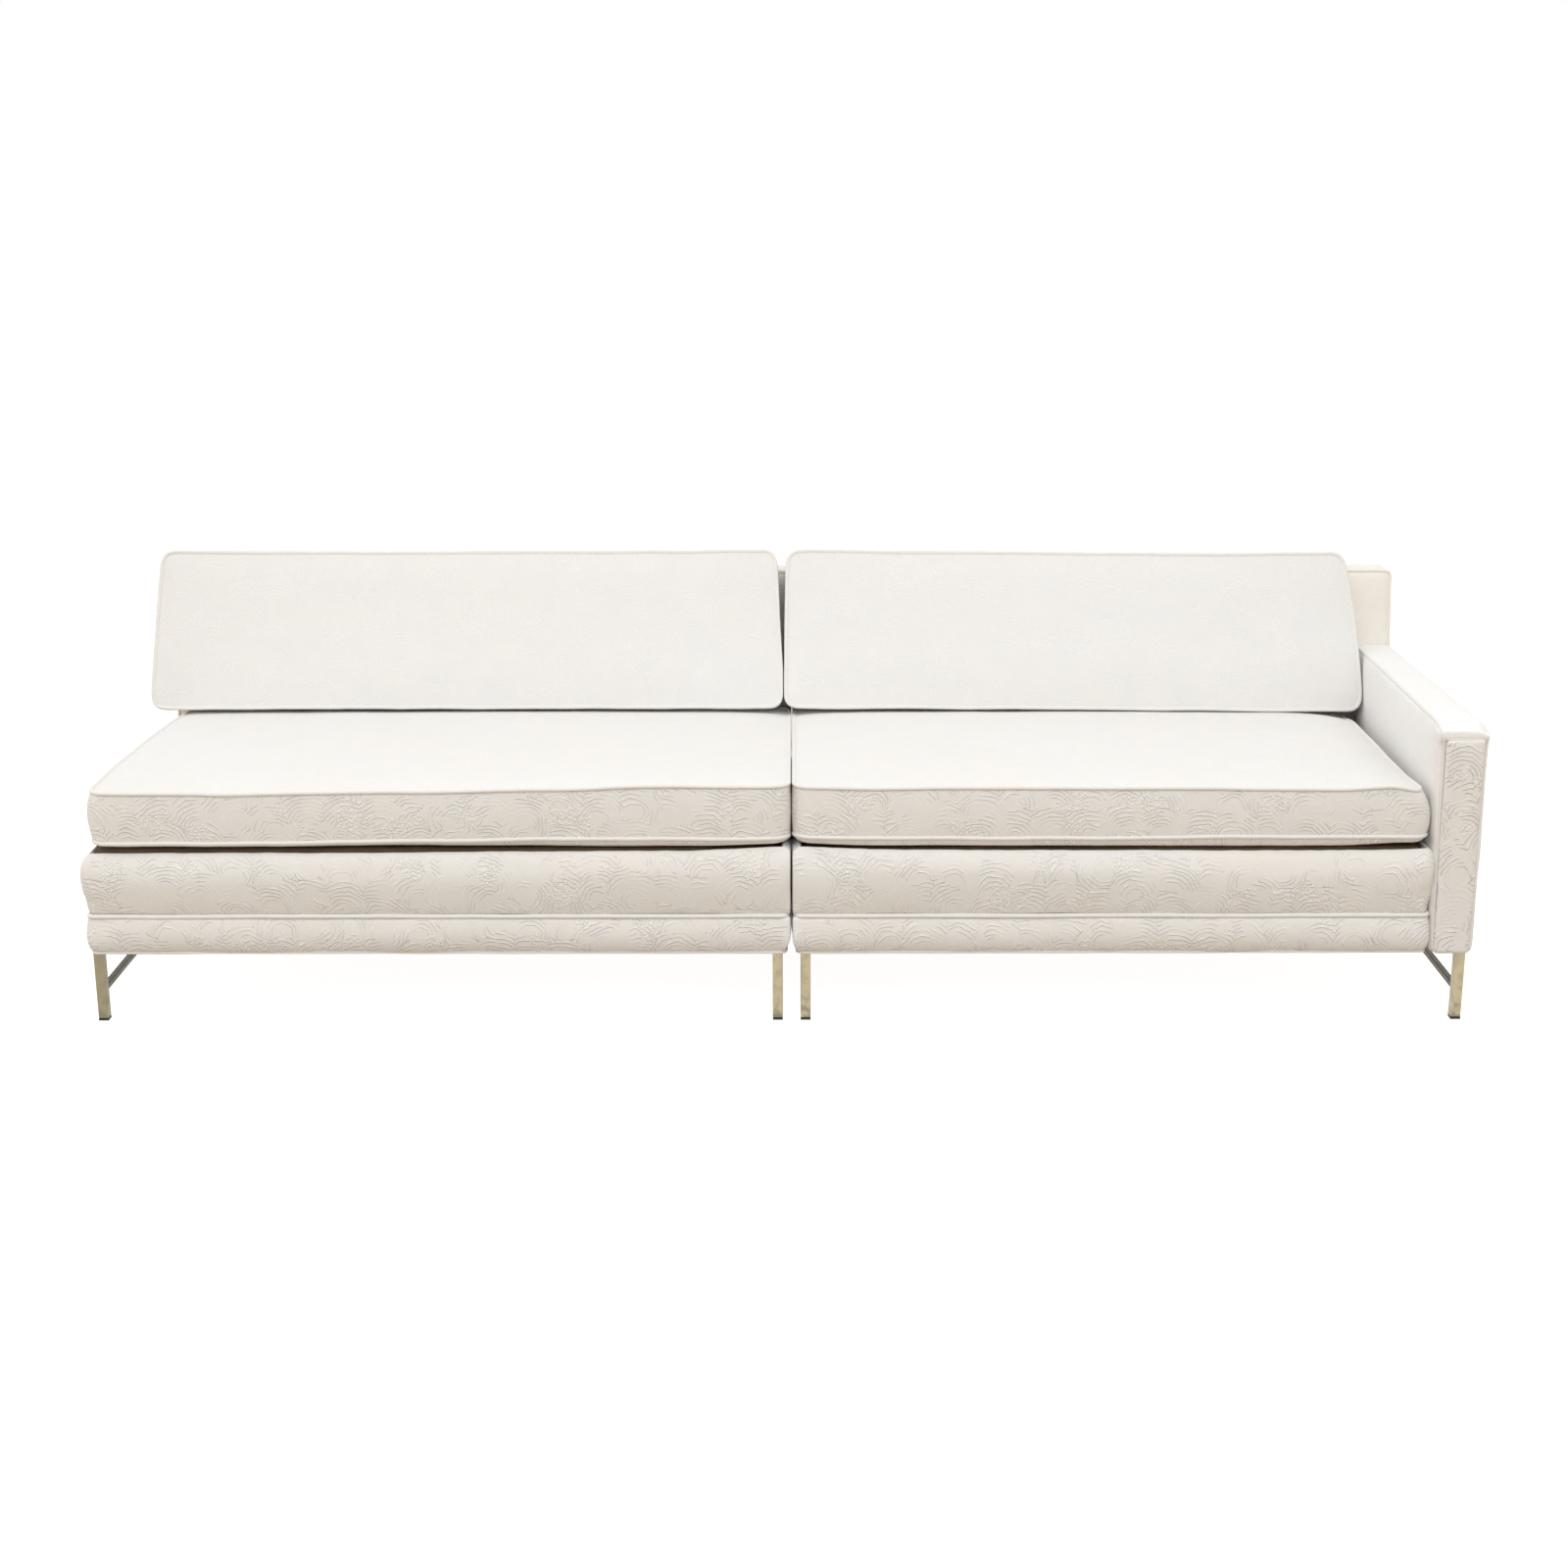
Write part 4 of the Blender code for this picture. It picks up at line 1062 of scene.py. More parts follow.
def seat_cushion_form(cushions, unit):
    """Form of a seat cushion in the place of its solid."""
    node = unit + "_seat_cushion"
    low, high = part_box(node)
    size = high - low
    form = {
        "width": size.x - 2 * SEAT_BULGE,
        "depth": size.y - 2 * SEAT_BULGE,
        "boxing": size.z - cushions.seat_crown - cushions.seat_under_crown,
        "crown": cushions.seat_crown - cushions.swell,
        "under": cushions.seat_under_crown - SEAT_UNDER_EASE,
        "rests": True,
        "bulge": SEAT_BULGE - cushions.swell / 2,
        "draw": SEAT_DRAW[unit],
        "roll": SEAT_ROLL[unit],
        "radius": cushions.corner_radius,
    }
    middle = (low + high) / 2
    centre = Vector((middle.x, middle.y, low.z + cushions.seat_under_crown + form["boxing"] / 2))
    inner = INNER_SIDE[unit]

    def warp(point):
        across = clamped(point.x / form["width"] + 0.5)
        lower = clamped(0.5 - point.z / form["boxing"])
        upper = 1 - lower
        below = clamped((-point.z - form["boxing"] / 2) / form["under"])
        near_front = max(0.0, 0.5 - point.y / form["depth"])
        beside = max(0.0, -point.x * inner / form["width"] * 2)
        depth = point.y + centre.y
        lift = UNDER_LIFT * eased_between(UNDER_LIFT_SHARES[unit], across) * near_front ** 3 * lower
        lift *= 1 - eased_between(HOLD_SHARES[unit], across) * below
        lift = max(lift, (eased_between(CREST_SHARES[unit], across) + CREST_ROOM) * below)
        drop = TOP_DROP * eased_between(TOP_DROP_SHARES[unit], across) * near_front ** 2 * upper
        sink = between(REAR_SINK[unit], across) * upper
        sink *= smooth_share((depth - REAR_SINK_START) / REAR_SINK_LENGTH)
        outer = SEAT_OUTER[unit] * -inner * beside ** 2
        if unit == "armless":
            sink *= between((SINK_AT_FREE_END, 1), smooth_share(across / SINK_FREE_WIDTH))
            share = max(0.0, (depth - SEAT_PULL_START) / SEAT_PULL_LENGTH)
            outer += SEAT_REAR_PULL * share ** SEAT_PULL_POWER * beside ** 2
        else:
            ease = ARM_SIDE_EASE * smooth_share((ARM_SIDE_EASE_START - depth) / ARM_SIDE_EASE_LENGTH)
            outer *= upper ** 1.5 * (1 - ease)
            drop += SEAT_ARM_DROP * smooth_share(1 - (1 - beside) * SEAT_ARM_DROP_RATE) * upper
        from_middle = (1 - 2 * lower) ** 2
        rim = from_middle if lower < 0.5 else SEAT_RIM_PULL_UNDER * from_middle
        shaping = SEAT_RIM_PULL * rim - SEAT_SIDE_SWELL[unit] * (1 - from_middle)
        outer += shaping * inner * beside ** SEAT_END_POWER
        reach = SEAT_INNER_REACH * inner * max(0.0, point.x * inner / form["width"] * 2) ** 4
        placed = point + centre + Vector((reach + outer, 0, lift - drop - sink))
        offset = wander(placed, *SEAT_WANDER)
        offset.z *= 1 - SEAT_STEADY_UNDER * below
        return placed + offset

    return boxed_cushion(node + "_dressed", form, cushions.step, warp)


def back_cushion_form(cushions, unit):
    """Form of a back cushion, thinner towards its top, leaning with the back."""
    node = unit + "_back_cushion"
    turn = Matrix.Rotation(QUARTER_TURN - BACK_RAKE, 4, "X")
    low, high = local_box(node, turn)
    size = high - low
    boxing = cushions.back_boxing
    form = {
        "width": size.x - 2 * BACK_BULGE,
        "depth": size.y - 2 * BACK_BULGE,
        "boxing": boxing,
        "crown": cushions.back_crown - cushions.swell,
        "under": cushions.back_rear_crown - cushions.swell / 2,
        "rests": False,
        "bulge": BACK_BULGE - cushions.swell / 2,
        "draw": BACK_DRAW[unit],
        "roll": BACK_ROLL,
        "radius": cushions.back_corner_radius,
    }
    middle = (low + high) / 2
    centre = Vector((middle.x, middle.y, low.z + cushions.back_rear_crown + boxing / 2))
    rear = -boxing / 2

    def warp(point):
        share = clamped(point.y / size.y + 0.5)
        across = clamped(point.x / size.x + 0.5)
        foot_drop = REAR_SINK[unit][0] * max(0.0, 1 - 2 * share) ** 3
        point.y -= foot_drop + between(BACK_SAG[unit], smooth_share(across))
        side = 2 * point.x / size.x
        shift, lean, power = BACK_EDGES[unit][1 if side > 0 else 0]
        point.x += (shift - math.copysign(lean * share ** power, side)) * abs(side) ** 2
        if point.z > rear:
            point.z = rear + (point.z - rear) * (1 - share * (1 - cushions.back_boxing_top / boxing))
        placed = turn @ (point + centre)
        return placed + wander(placed, *BACK_WANDER)

    return boxed_cushion(node + "_dressed", form, cushions.step, warp)


# Bands around the seat rails: both reach behind the cord, and the upper one stands a little proud
CORNER_STEPS = 6
PROFILE_STEPS = 8
BAND_TUCK = 0.0042
BAND_PROUD = 0.001
TOP_FALL = 0.0005
TOP_FALL_WIDTH = 0.012
BORDER_TOP_DRAW = 0.006
BORDER_FOOT_DRAW = 0.0095
OUTER_FILL = 0.002
INNER_SQUARE = 0.28

# Towards the neighbour a band is flat: where the flat side begins, how it eases out below the
# crest, and how it tapers over a height above its foot
FLAT_FROM = 0.4
FLAT_RATE = 1.8
FLAT_EASE = 0.012
JUNCTION_REACH = 0.003
TAPER = {"armless": 0.018, "arm_unit": 0.0135}
TAPER_HEIGHT = 0.036

# Crest of the upper band's front: its height at places across, and how deep and ragged it is
CREST_SHARES = {
    "armless": ((0.0, -0.0030), (0.3, -0.0033), (0.65, -0.0003), (0.86, 0.0021), (1.0, 0.0085)),
    "arm_unit": ((0.0, 0.0085), (0.13, 0.0042), (0.4, 0.002), (0.84, 0.0003), (1.0, 0.003)),
}
CREST_DEPTH = 0.055
CREST_FRONT = -0.15
CREST_FRONT_LENGTH = 0.15
CREST_RAGGED = 0.0012
CREST_RAGGED_SIZE = 0.018

# A band is held on the rails, and moves freely from these distances off them
WANDER_STAND_OFF = 0.008
CREST_STAND_OFF = 0.003
BAND_WANDER = (0.13, 0.0022, 9.0), (0.04, 0.0006, 5.0)

# Cord along the border's foot: distance off the rails, height above the foot, and radius
HEM_STAND_OFF = 0.0105
HEM_HEIGHT = 0.0026
HEM_RADIUS = 0.0024

# Unevenness of the cords around the rails, and how early the border swells above its foot
CORD_UNEVEN = (0.09, 0.0009, 3.0)
BORDER_SWELL_POWER = 0.8


def rails_of(unit):
    """Outer faces of the seat rails: left, right, front and rear."""
    front_low, front_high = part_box(unit + "_front_rail")
    _, rear_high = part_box(unit + "_rear_rail")
    return front_low.x, front_high.x, front_low.y, rear_high.y


def ring_places(rails, step):
    """Places around the rails: foot on the rails' rectangle, and outward direction."""
    left, right, front, rear = rails
    corners = ((left, front), (right, front), (right, rear), (left, rear))
    places = []
    for start, end in zip(corners, corners[1:] + corners[:1]):
        start, end = Vector(start), Vector(end)
        length = (end - start).length
        ahead = (end - start) / length
        out = Vector((ahead.y, -ahead.x))
        count = round(length / step)
        for i in range(count + 1):
            places.append((start.lerp(end, i / count), out))
        following = Vector((-out.y, out.x))
        for i in range(1, CORNER_STEPS):
            angle = QUARTER_TURN * i / CORNER_STEPS
            bent = out * math.cos(angle) + following * math.sin(angle)
            places.append((end.copy(), bent))
    return places


def ring_piece(name, rails, profile, step, warp, pinned):
    """Sweep a closed profile of (stand-off, height) around the rails."""
    places = ring_places(rails, step)
    count, sides = len(places), len(profile)
    points, faces, uvs = [], [], []
    climbs = [0.0]
    for (out_a, z_a), (out_b, z_b) in zip(profile, profile[1:]):
        climbs.append(climbs[-1] + math.hypot(out_b - out_a, z_b - z_a))
    climbs.append(climbs[-1] + math.hypot(profile[0][0] - profile[-1][0], profile[0][1] - profile[-1][1]))
    runs = [0.0]
    widest = max(out for out, _ in profile)
    edge = [foot + out * widest for foot, out in places]
    for i in range(count):
        runs.append(runs[-1] + (edge[(i + 1) % count] - edge[i]).length)
    for foot, out in places:
        for stand_off, height in profile:
            flat = foot + out * stand_off
            points.append(warp(Vector((flat.x, flat.y, height)), out, stand_off))
    for i in range(count):
        j = (i + 1) % count
        for k in range(sides):
            m = (k + 1) % sides
            faces.append((i * sides + k, j * sides + k, j * sides + m, i * sides + m))
            low, high = climbs[k], climbs[k + 1]
            uvs += [(runs[i], low), (runs[i + 1], low), (runs[i + 1], high), (runs[i], high)]
    item = new_piece(name, points, faces, uvs)
    pin(item, [i * sides + k for i in range(count) for k in pinned])
    return item


def band_profile(node, rails, padding):
    """Upper band: upright against the rails, swelling upwards to a rolled shoulder."""
    low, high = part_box(node)
    low.z -= BAND_TUCK
    widest = rails[2] - low.y + BAND_PROUD
    foot = widest - padding.band_swell
    shoulder = high.z - padding.shoulder
    profile = [(GAP, low.z)]
    for i in range(PROFILE_STEPS + 1):
        share = i / PROFILE_STEPS
        out = foot + (widest - foot) * math.sin(share * QUARTER_TURN)
        profile.append((out, low.z + share * (shoulder - low.z)))
    for i in range(1, PROFILE_STEPS + 1):
        angle = QUARTER_TURN * i / PROFILE_STEPS
        out = GAP + (widest - GAP) * math.cos(angle)
        fall = TOP_FALL * smooth_share(1 - out / TOP_FALL_WIDTH)
        profile.append((out, shoulder + padding.shoulder * math.sin(angle) - fall))
    return profile


def border_profile(node, rails):
    """Lower border: a shallow padded band, drawn in at its lower edge."""
    low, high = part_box(node)
    high.z += BAND_TUCK
    widest = rails[2] - low.y
    bottom, top = widest - BORDER_FOOT_DRAW, widest - BORDER_TOP_DRAW
    profile = [(GAP, low.z)]
    for i in range(PROFILE_STEPS + 1):
        share = i / PROFILE_STEPS
        base = bottom + (top - bottom) * share
        out = base + (widest - base) * math.sin(math.pi * share ** BORDER_SWELL_POWER)
        profile.append((out, low.z + share * (high.z - low.z)))
    profile.append((GAP, high.z))
    return profile


def cord_ring(name, rails, stand_off, height, radius, step):
    """Round cord that runs around the rails."""
    path = []
    for foot, out in ring_places(rails, step):
        flat = foot + out * stand_off
        point = Vector((flat.x, flat.y, height))
        path.append(point + unevenness(point, *CORD_UNEVEN))
    return welt(name, path, radius, True)


# Remeshed pads: back covers, arm and deck


def prism(name, outline, left_of, right, rounding, segments=3, above=None):
    """Closed prism across X from a (y, z) outline, with rounded edges.

    left_of gives its left side at a height. Where a height above is given, edges that lie below it
    stay sharp, apart from upright ones.
    """
    shape = bmesh.new()
    near = [shape.verts.new((left_of(z), y, z)) for y, z in outline]
    far = [shape.verts.new((right, y, z)) for y, z in outline]
    shape.faces.new(near)
    shape.faces.new(far)
    for i in range(len(outline)):
        j = (i + 1) % len(outline)
        shape.faces.new((near[i], near[j], far[j], far[i]))
    bmesh.ops.recalc_face_normals(shape, faces=shape.faces)
    shape.normal_update()
    edges = []
    for edge in shape.edges:
        first, second = (vertex.co for vertex in edge.verts)
        upright = abs(first.z - second.z) > max(abs(first.x - second.x), abs(first.y - second.y))
        if edge.is_convex and (above is None or upright or max(first.z, second.z) > above):
            edges.append(edge)
    bmesh.ops.bevel(shape, geom=edges, offset=rounding, segments=segments, profile=0.5, affect="EDGES")
    mesh = bpy.data.meshes.new(name)
    shape.to_mesh(mesh)
    shape.free()
    item = bpy.data.objects.new(name, mesh)
    bpy.context.scene.collection.objects.link(item)
    return item


def slab(front, rear, foot, top, rise=0.0):
    """Outline (y, z) of an upright slab whose top leans back by a rise."""
    return [(front, foot), (front + rise, top), (rear, top), (rear - rise, foot)]


def remesh(item, step, passes=3):
    """Even faces all over, then smoothed."""
    modifier = item.modifiers.new("even", "REMESH")
    modifier.mode = "VOXEL"
    modifier.voxel_size = step
    depsgraph = bpy.context.evaluated_depsgraph_get()
    mesh = bpy.data.meshes.new_from_object(item.evaluated_get(depsgraph))
    item.modifiers.remove(modifier)
    shape = bmesh.new()
    shape.from_mesh(mesh)
    for _ in range(passes):
        bmesh.ops.smooth_vert(
            shape, verts=shape.verts, factor=0.5, use_axis_x=True, use_axis_y=True, use_axis_z=True
        )
    shape.to_mesh(mesh)
    shape.free()
    mesh.shade_smooth()
    item.data = mesh


def roughen(item, size, height, seed):
    """Make a pad a little uneven by hand."""
    values = positions(item.data)
    for i, point in enumerate(values):
        values[i] = point + np.array(unevenness(point, size, height, seed))
    set_positions(item.data, values)


def surface_of(item):
    """Search tree of a piece's surface as it is shown."""
    depsgraph = bpy.context.evaluated_depsgraph_get()
    return BVHTree.FromObject(item, depsgraph)


def snapped(path, tree, stand_off):
    """Lay a path on a surface."""
    laid = []
    for point in path:
        near, normal, _, _ = tree.find_nearest(point)
        laid.append(near + normal * stand_off)
    return laid


# Welts laid on pads: spacing of their points, and steps in a rounded corner
WELT_STEP = 0.008
ARC_STEPS = 8


def polyline(corners, rounding):
    """Points along a run of corners, which are rounded by arcs."""
    corners = [Vector(corner) for corner in corners]
    points = [corners[0]]
    for before, corner, after in zip(corners, corners[1:], corners[2:]):
        back = (before - corner).normalized() * rounding
        ahead = (after - corner).normalized() * rounding
        for i in range(ARC_STEPS + 1):
            share = i / ARC_STEPS
            points.append(corner + back * (1 - share) ** 2 + ahead * share ** 2)
    points.append(corners[-1])
    even = [points[0]]
    for first, second in zip(points, points[1:]):
        length = (second - first).length
        count = max(1, round(length / WELT_STEP))
        even += [first.lerp(second, i / count) for i in range(1, count + 1)]
    return even


class SOFA_OT_seat_cushions(bpy.types.Operator):
    """Make both seat cushions with their welts"""

    bl_idname = "sofa.seat_cushions"
    bl_label = "Seat Cushions"

    def execute(self, context):
        material = fabric_material("Cream fabric", settings_of(context).fabric)
        make_cushions(context, "seat", seat_cushion_form, material, 0.85, SEAT_PRESSED_GAP)
        return {"FINISHED"}


class SOFA_OT_back_cushions(bpy.types.Operator):
    """Make both back cushions with their welts"""

    bl_idname = "sofa.back_cushions"
    bl_label = "Back Cushions"

    def execute(self, context):
        fabric = settings_of(context).fabric
        # Painted shade: the back cushions' cloth is a darker copy
        material = fabric_material("Worn fabric", fabric, FAINT_MOTIF, BACK_PAINTED_SHADE)
        make_cushions(context, "back", back_cushion_form, material, 0.8, GAP, BACK_PARTING)
        return {"FINISHED"}


class SOFA_OT_bands(bpy.types.Operator):
    """Make the bands around the seats, and the cord between them"""

    bl_idname = "sofa.bands"
    bl_label = "Seat Bands"

    def execute(self, context):
        settings = settings_of(context)
        padding = settings.padding
        material = fabric_material("Cream fabric", settings.fabric)
        cord = fabric_material("Welt fabric", settings.fabric, motif=0)
        made = []
        for unit in UNITS:
            rails = rails_of(unit)
            place = self.placing(unit, rails)
            band = band_profile(unit + "_seat_band", rails, padding)
            border = border_profile(unit + "_base_border", rails)
            for part, profile, seams, fill in (
                ("_seat_band", band, (0, 1, len(band) - 1), 0.7),
                ("_base_border", border, (0, 1, len(border) - 2, len(border) - 1), 0.6),
            ):
                node = unit + part
                item = ring_piece(node + "_dressed", rails, profile, padding.step, place, seams)
                made.append((item, unit, node, fill))
        swell([entry[0] for entry in made], padding.pressure, padding.swell)
        for item, unit, node, fill in made:
            press(item, unit, GAP / 3, BAND_GROOVE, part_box(node)[0].y)
            subdivide(item)
            dress(item, SECTION_BODY[unit], material, (node,), fill)
        for unit in UNITS:
            rails = rails_of(unit)
            node = unit + "_base_welt"
            low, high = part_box(node)
            radius = (high.z - low.z) / 2
            stand_off = rails[2] - low.y - radius
            item = cord_ring(node + "_dressed", rails, stand_off, low.z + radius, radius, padding.step)
            dress(item, SECTION_BODY[unit], cord, (node,))
            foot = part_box(unit + "_base_border")[0].z + HEM_HEIGHT
            hem = cord_ring(unit + "_hem", rails, HEM_STAND_OFF, foot, HEM_RADIUS, padding.step)
            dress(hem, SECTION_BODY[unit], cord)
        return {"FINISHED"}

    def placing(self, unit, rails):
        """Function that shapes a unit's bands: flat to the neighbour, with a wandering crest."""
        inner = INNER_SIDE[unit]
        rail = rails[1] if inner > 0 else rails[0]
        full = abs(JUNCTION - rail)
        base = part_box(unit + "_base_border")[0].z
        crest_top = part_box(unit + "_seat_band")[1].z

        def place(point, out, stand_off):
            sideways = max(0.0, out.x * inner)
            corner = 4 * (sideways * out.y) ** 2
            outward = min(1.0, stand_off / WANDER_STAND_OFF)
            placed = point + Vector((out.x, out.y, 0)) * stand_off * INNER_SQUARE * corner
            placed += wander(placed, *BAND_WANDER) * outward
            taper = TAPER[unit] * max(0.0, 1 - (point.z - base) / TAPER_HEIGHT)
            below_top = smooth_share((crest_top - point.z) / FLAT_EASE)
            flat = smooth_share(sideways * FLAT_RATE - FLAT_FROM) * outward * below_top
            goal = rail + inner * (full + JUNCTION_REACH - taper)
            placed.x += (goal - placed.x) * flat
            across = clamped((point.x - rails[0]) / (rails[1] - rails[0]))
            crest = eased_between(CREST_SHARES[unit], across)
            near_front = smooth_share((CREST_FRONT - point.y) / CREST_FRONT_LENGTH)
            upper = smooth_share(1 - (crest_top - point.z) / CREST_DEPTH)
            ragged = CREST_RAGGED * noise.noise(point / CREST_RAGGED_SIZE) * upper
            placed.z += (crest * near_front + ragged) * upper * min(1.0, stand_off / CREST_STAND_OFF)
            if inner > 0:
                placed.x -= OUTER_FILL * max(0.0, -out.x) * outward * (1 - upper)
            return placed

        return place


# Back covers: how far their sides stand past the solid, and how the left one narrows to its foot
BACK_COVER_REACH = 0.006
BACK_COVER_LEFT = 0.005
BACK_COVER_FOOT = 0.003
# The back covers' cloth is a lighter, warmer copy: painted light, and painted warmth in the shaded creases
# between the cushions
BACK_COVER_PAINTED_LIGHT = (1.075, 1.05, 1.01)
BACK_COVER_EDGE = 0.006
BACK_COVER_FINENESS = 0.8
BACK_COVER_UNEVEN = (0.14, 0.0016, 6.0)

# Welts of the back covers: rounding of the corners, share of the full radius, height on the cloth
BACK_WELT_ROUND = 0.014
BACK_WELT_SHARE = 0.9
BACK_WELT_RISE = 0.001


class SOFA_OT_backs(bpy.types.Operator):
    """Make the slim back frames' covers with their welts"""

    bl_idname = "sofa.backs"
    bl_label = "Back Covers"

    def execute(self, context):
        settings = settings_of(context)
        padding = settings.padding
        # Painted light: the back covers and their welts are lighter, warmer copies of the cloth
        material = fabric_material("Back frame fabric", settings.fabric, FAINT_MOTIF, BACK_COVER_PAINTED_LIGHT)
        cord = fabric_material("Back frame welt fabric", settings.fabric, 0, BACK_COVER_PAINTED_LIGHT)
        made = []
        for unit in UNITS:
            node = unit + "_back_cover"
            low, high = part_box(node)
            rise = (high.z - low.z) * BACK_SLOPE
            thickness = high.y - low.y - rise
            outline = slab(low.y, high.y, low.z, high.z, rise)
            high.x += BACK_COVER_REACH
            foot = 0.0
            if INNER_SIDE[unit] > 0:
                low.x += BACK_COVER_LEFT
                foot = BACK_COVER_FOOT
            else:
                low.x -= BACK_COVER_REACH
            narrowing = foot / (high.z - low.z)
            left_of = lambda z, left=low.x, top=high.z, rate=narrowing: left + rate * (top - z)
            item = prism(node + "_dressed", outline, left_of, high.x, BACK_COVER_EDGE)
            remesh(item, padding.step * BACK_COVER_FINENESS)
            roughen(item, *BACK_COVER_UNEVEN)
            made.append((item, unit, node, low, high, rise, thickness))
        swell([entry[0] for entry in made], padding.pressure, padding.swell)
        radius = settings.fabric.welt_radius * BACK_WELT_SHARE
        for item, unit, node, low, high, rise, thickness in made:
            press(item, unit, GAP / 3, COVER_GROOVE, low.y - low.z * BACK_SLOPE, BACK_SLOPE)
            box_uvs(item)
            subdivide(item)
            dress(item, SECTION_BODY[unit], material, (node,), 0.6)
            tree = surface_of(item)
            for where, y in (("front", low.y), ("rear", low.y + thickness)):
                corners = [
                    (low.x, y, low.z), (low.x, y + rise, high.z),
                    (high.x, y + rise, high.z), (high.x, y, low.z),
                ]
                path = snapped(polyline(corners, BACK_WELT_ROUND), tree, BACK_WELT_RISE)
                path = beside_parting(smooth_path(path, False, 3), unit, radius + 2 * GAP)
                piece = welt(f"{unit}_back_{where}_welt", path, radius, False)
                dress(piece, SECTION_BODY[unit], cord)
        return {"FINISHED"}


# The arm's cover: how far its sides fill out, from what depth, and how its top edge falls
# The arm's cloth is a lighter, cooler copy: painted light on the arm's faces
ARM_PAINTED_LIGHT = (1.075, 1.08, 1.10)
ARM_INNER_FILL = 0.012
ARM_INNER_LEAST = 0.002
ARM_OUTER_FILL = 0.0065
ARM_MIDDLE = 1.205
ARM_MIDDLE_WIDTH = 0.02
ARM_FILL_REAR = 0.25
ARM_EDGE_FALL = 0.007
ARM_EDGE_WIDTH = 0.030
ARM_ROLL = 0.048
ARM_ROLL_DROP = 0.011
ARM_FINENESS = 0.7
ARM_UNEVEN = (0.12, 0.0014, 11.0)

# The arm's front panel: seam round it, how deep it lies in the cover, how proud it stands, and its
# rounded edge
PANEL_SEAM = 0.003
PANEL_BED = 0.006
PANEL_PROUD = 0.0012
PANEL_EDGE = 0.003
PANEL_FINENESS = 0.5
PANEL_UNEVEN = (0.09, 0.0009, 2.0)

# Welts of the arm: share of the full radius, rounding of the corners, where the inner one runs,
# and how far below its top edge the panel's own runs
ARM_WELT_SHARE = 0.7
PANEL_WELT_SHARE = 0.6
ARM_WELT_ROUND = 0.016
PANEL_WELT_ROUND = 0.012
ARM_WELT_FRONT = 0.022
ARM_WELT_REAR = 0.004
ARM_WELT_REACH = 0.9
PANEL_WELT_FALL = 0.001


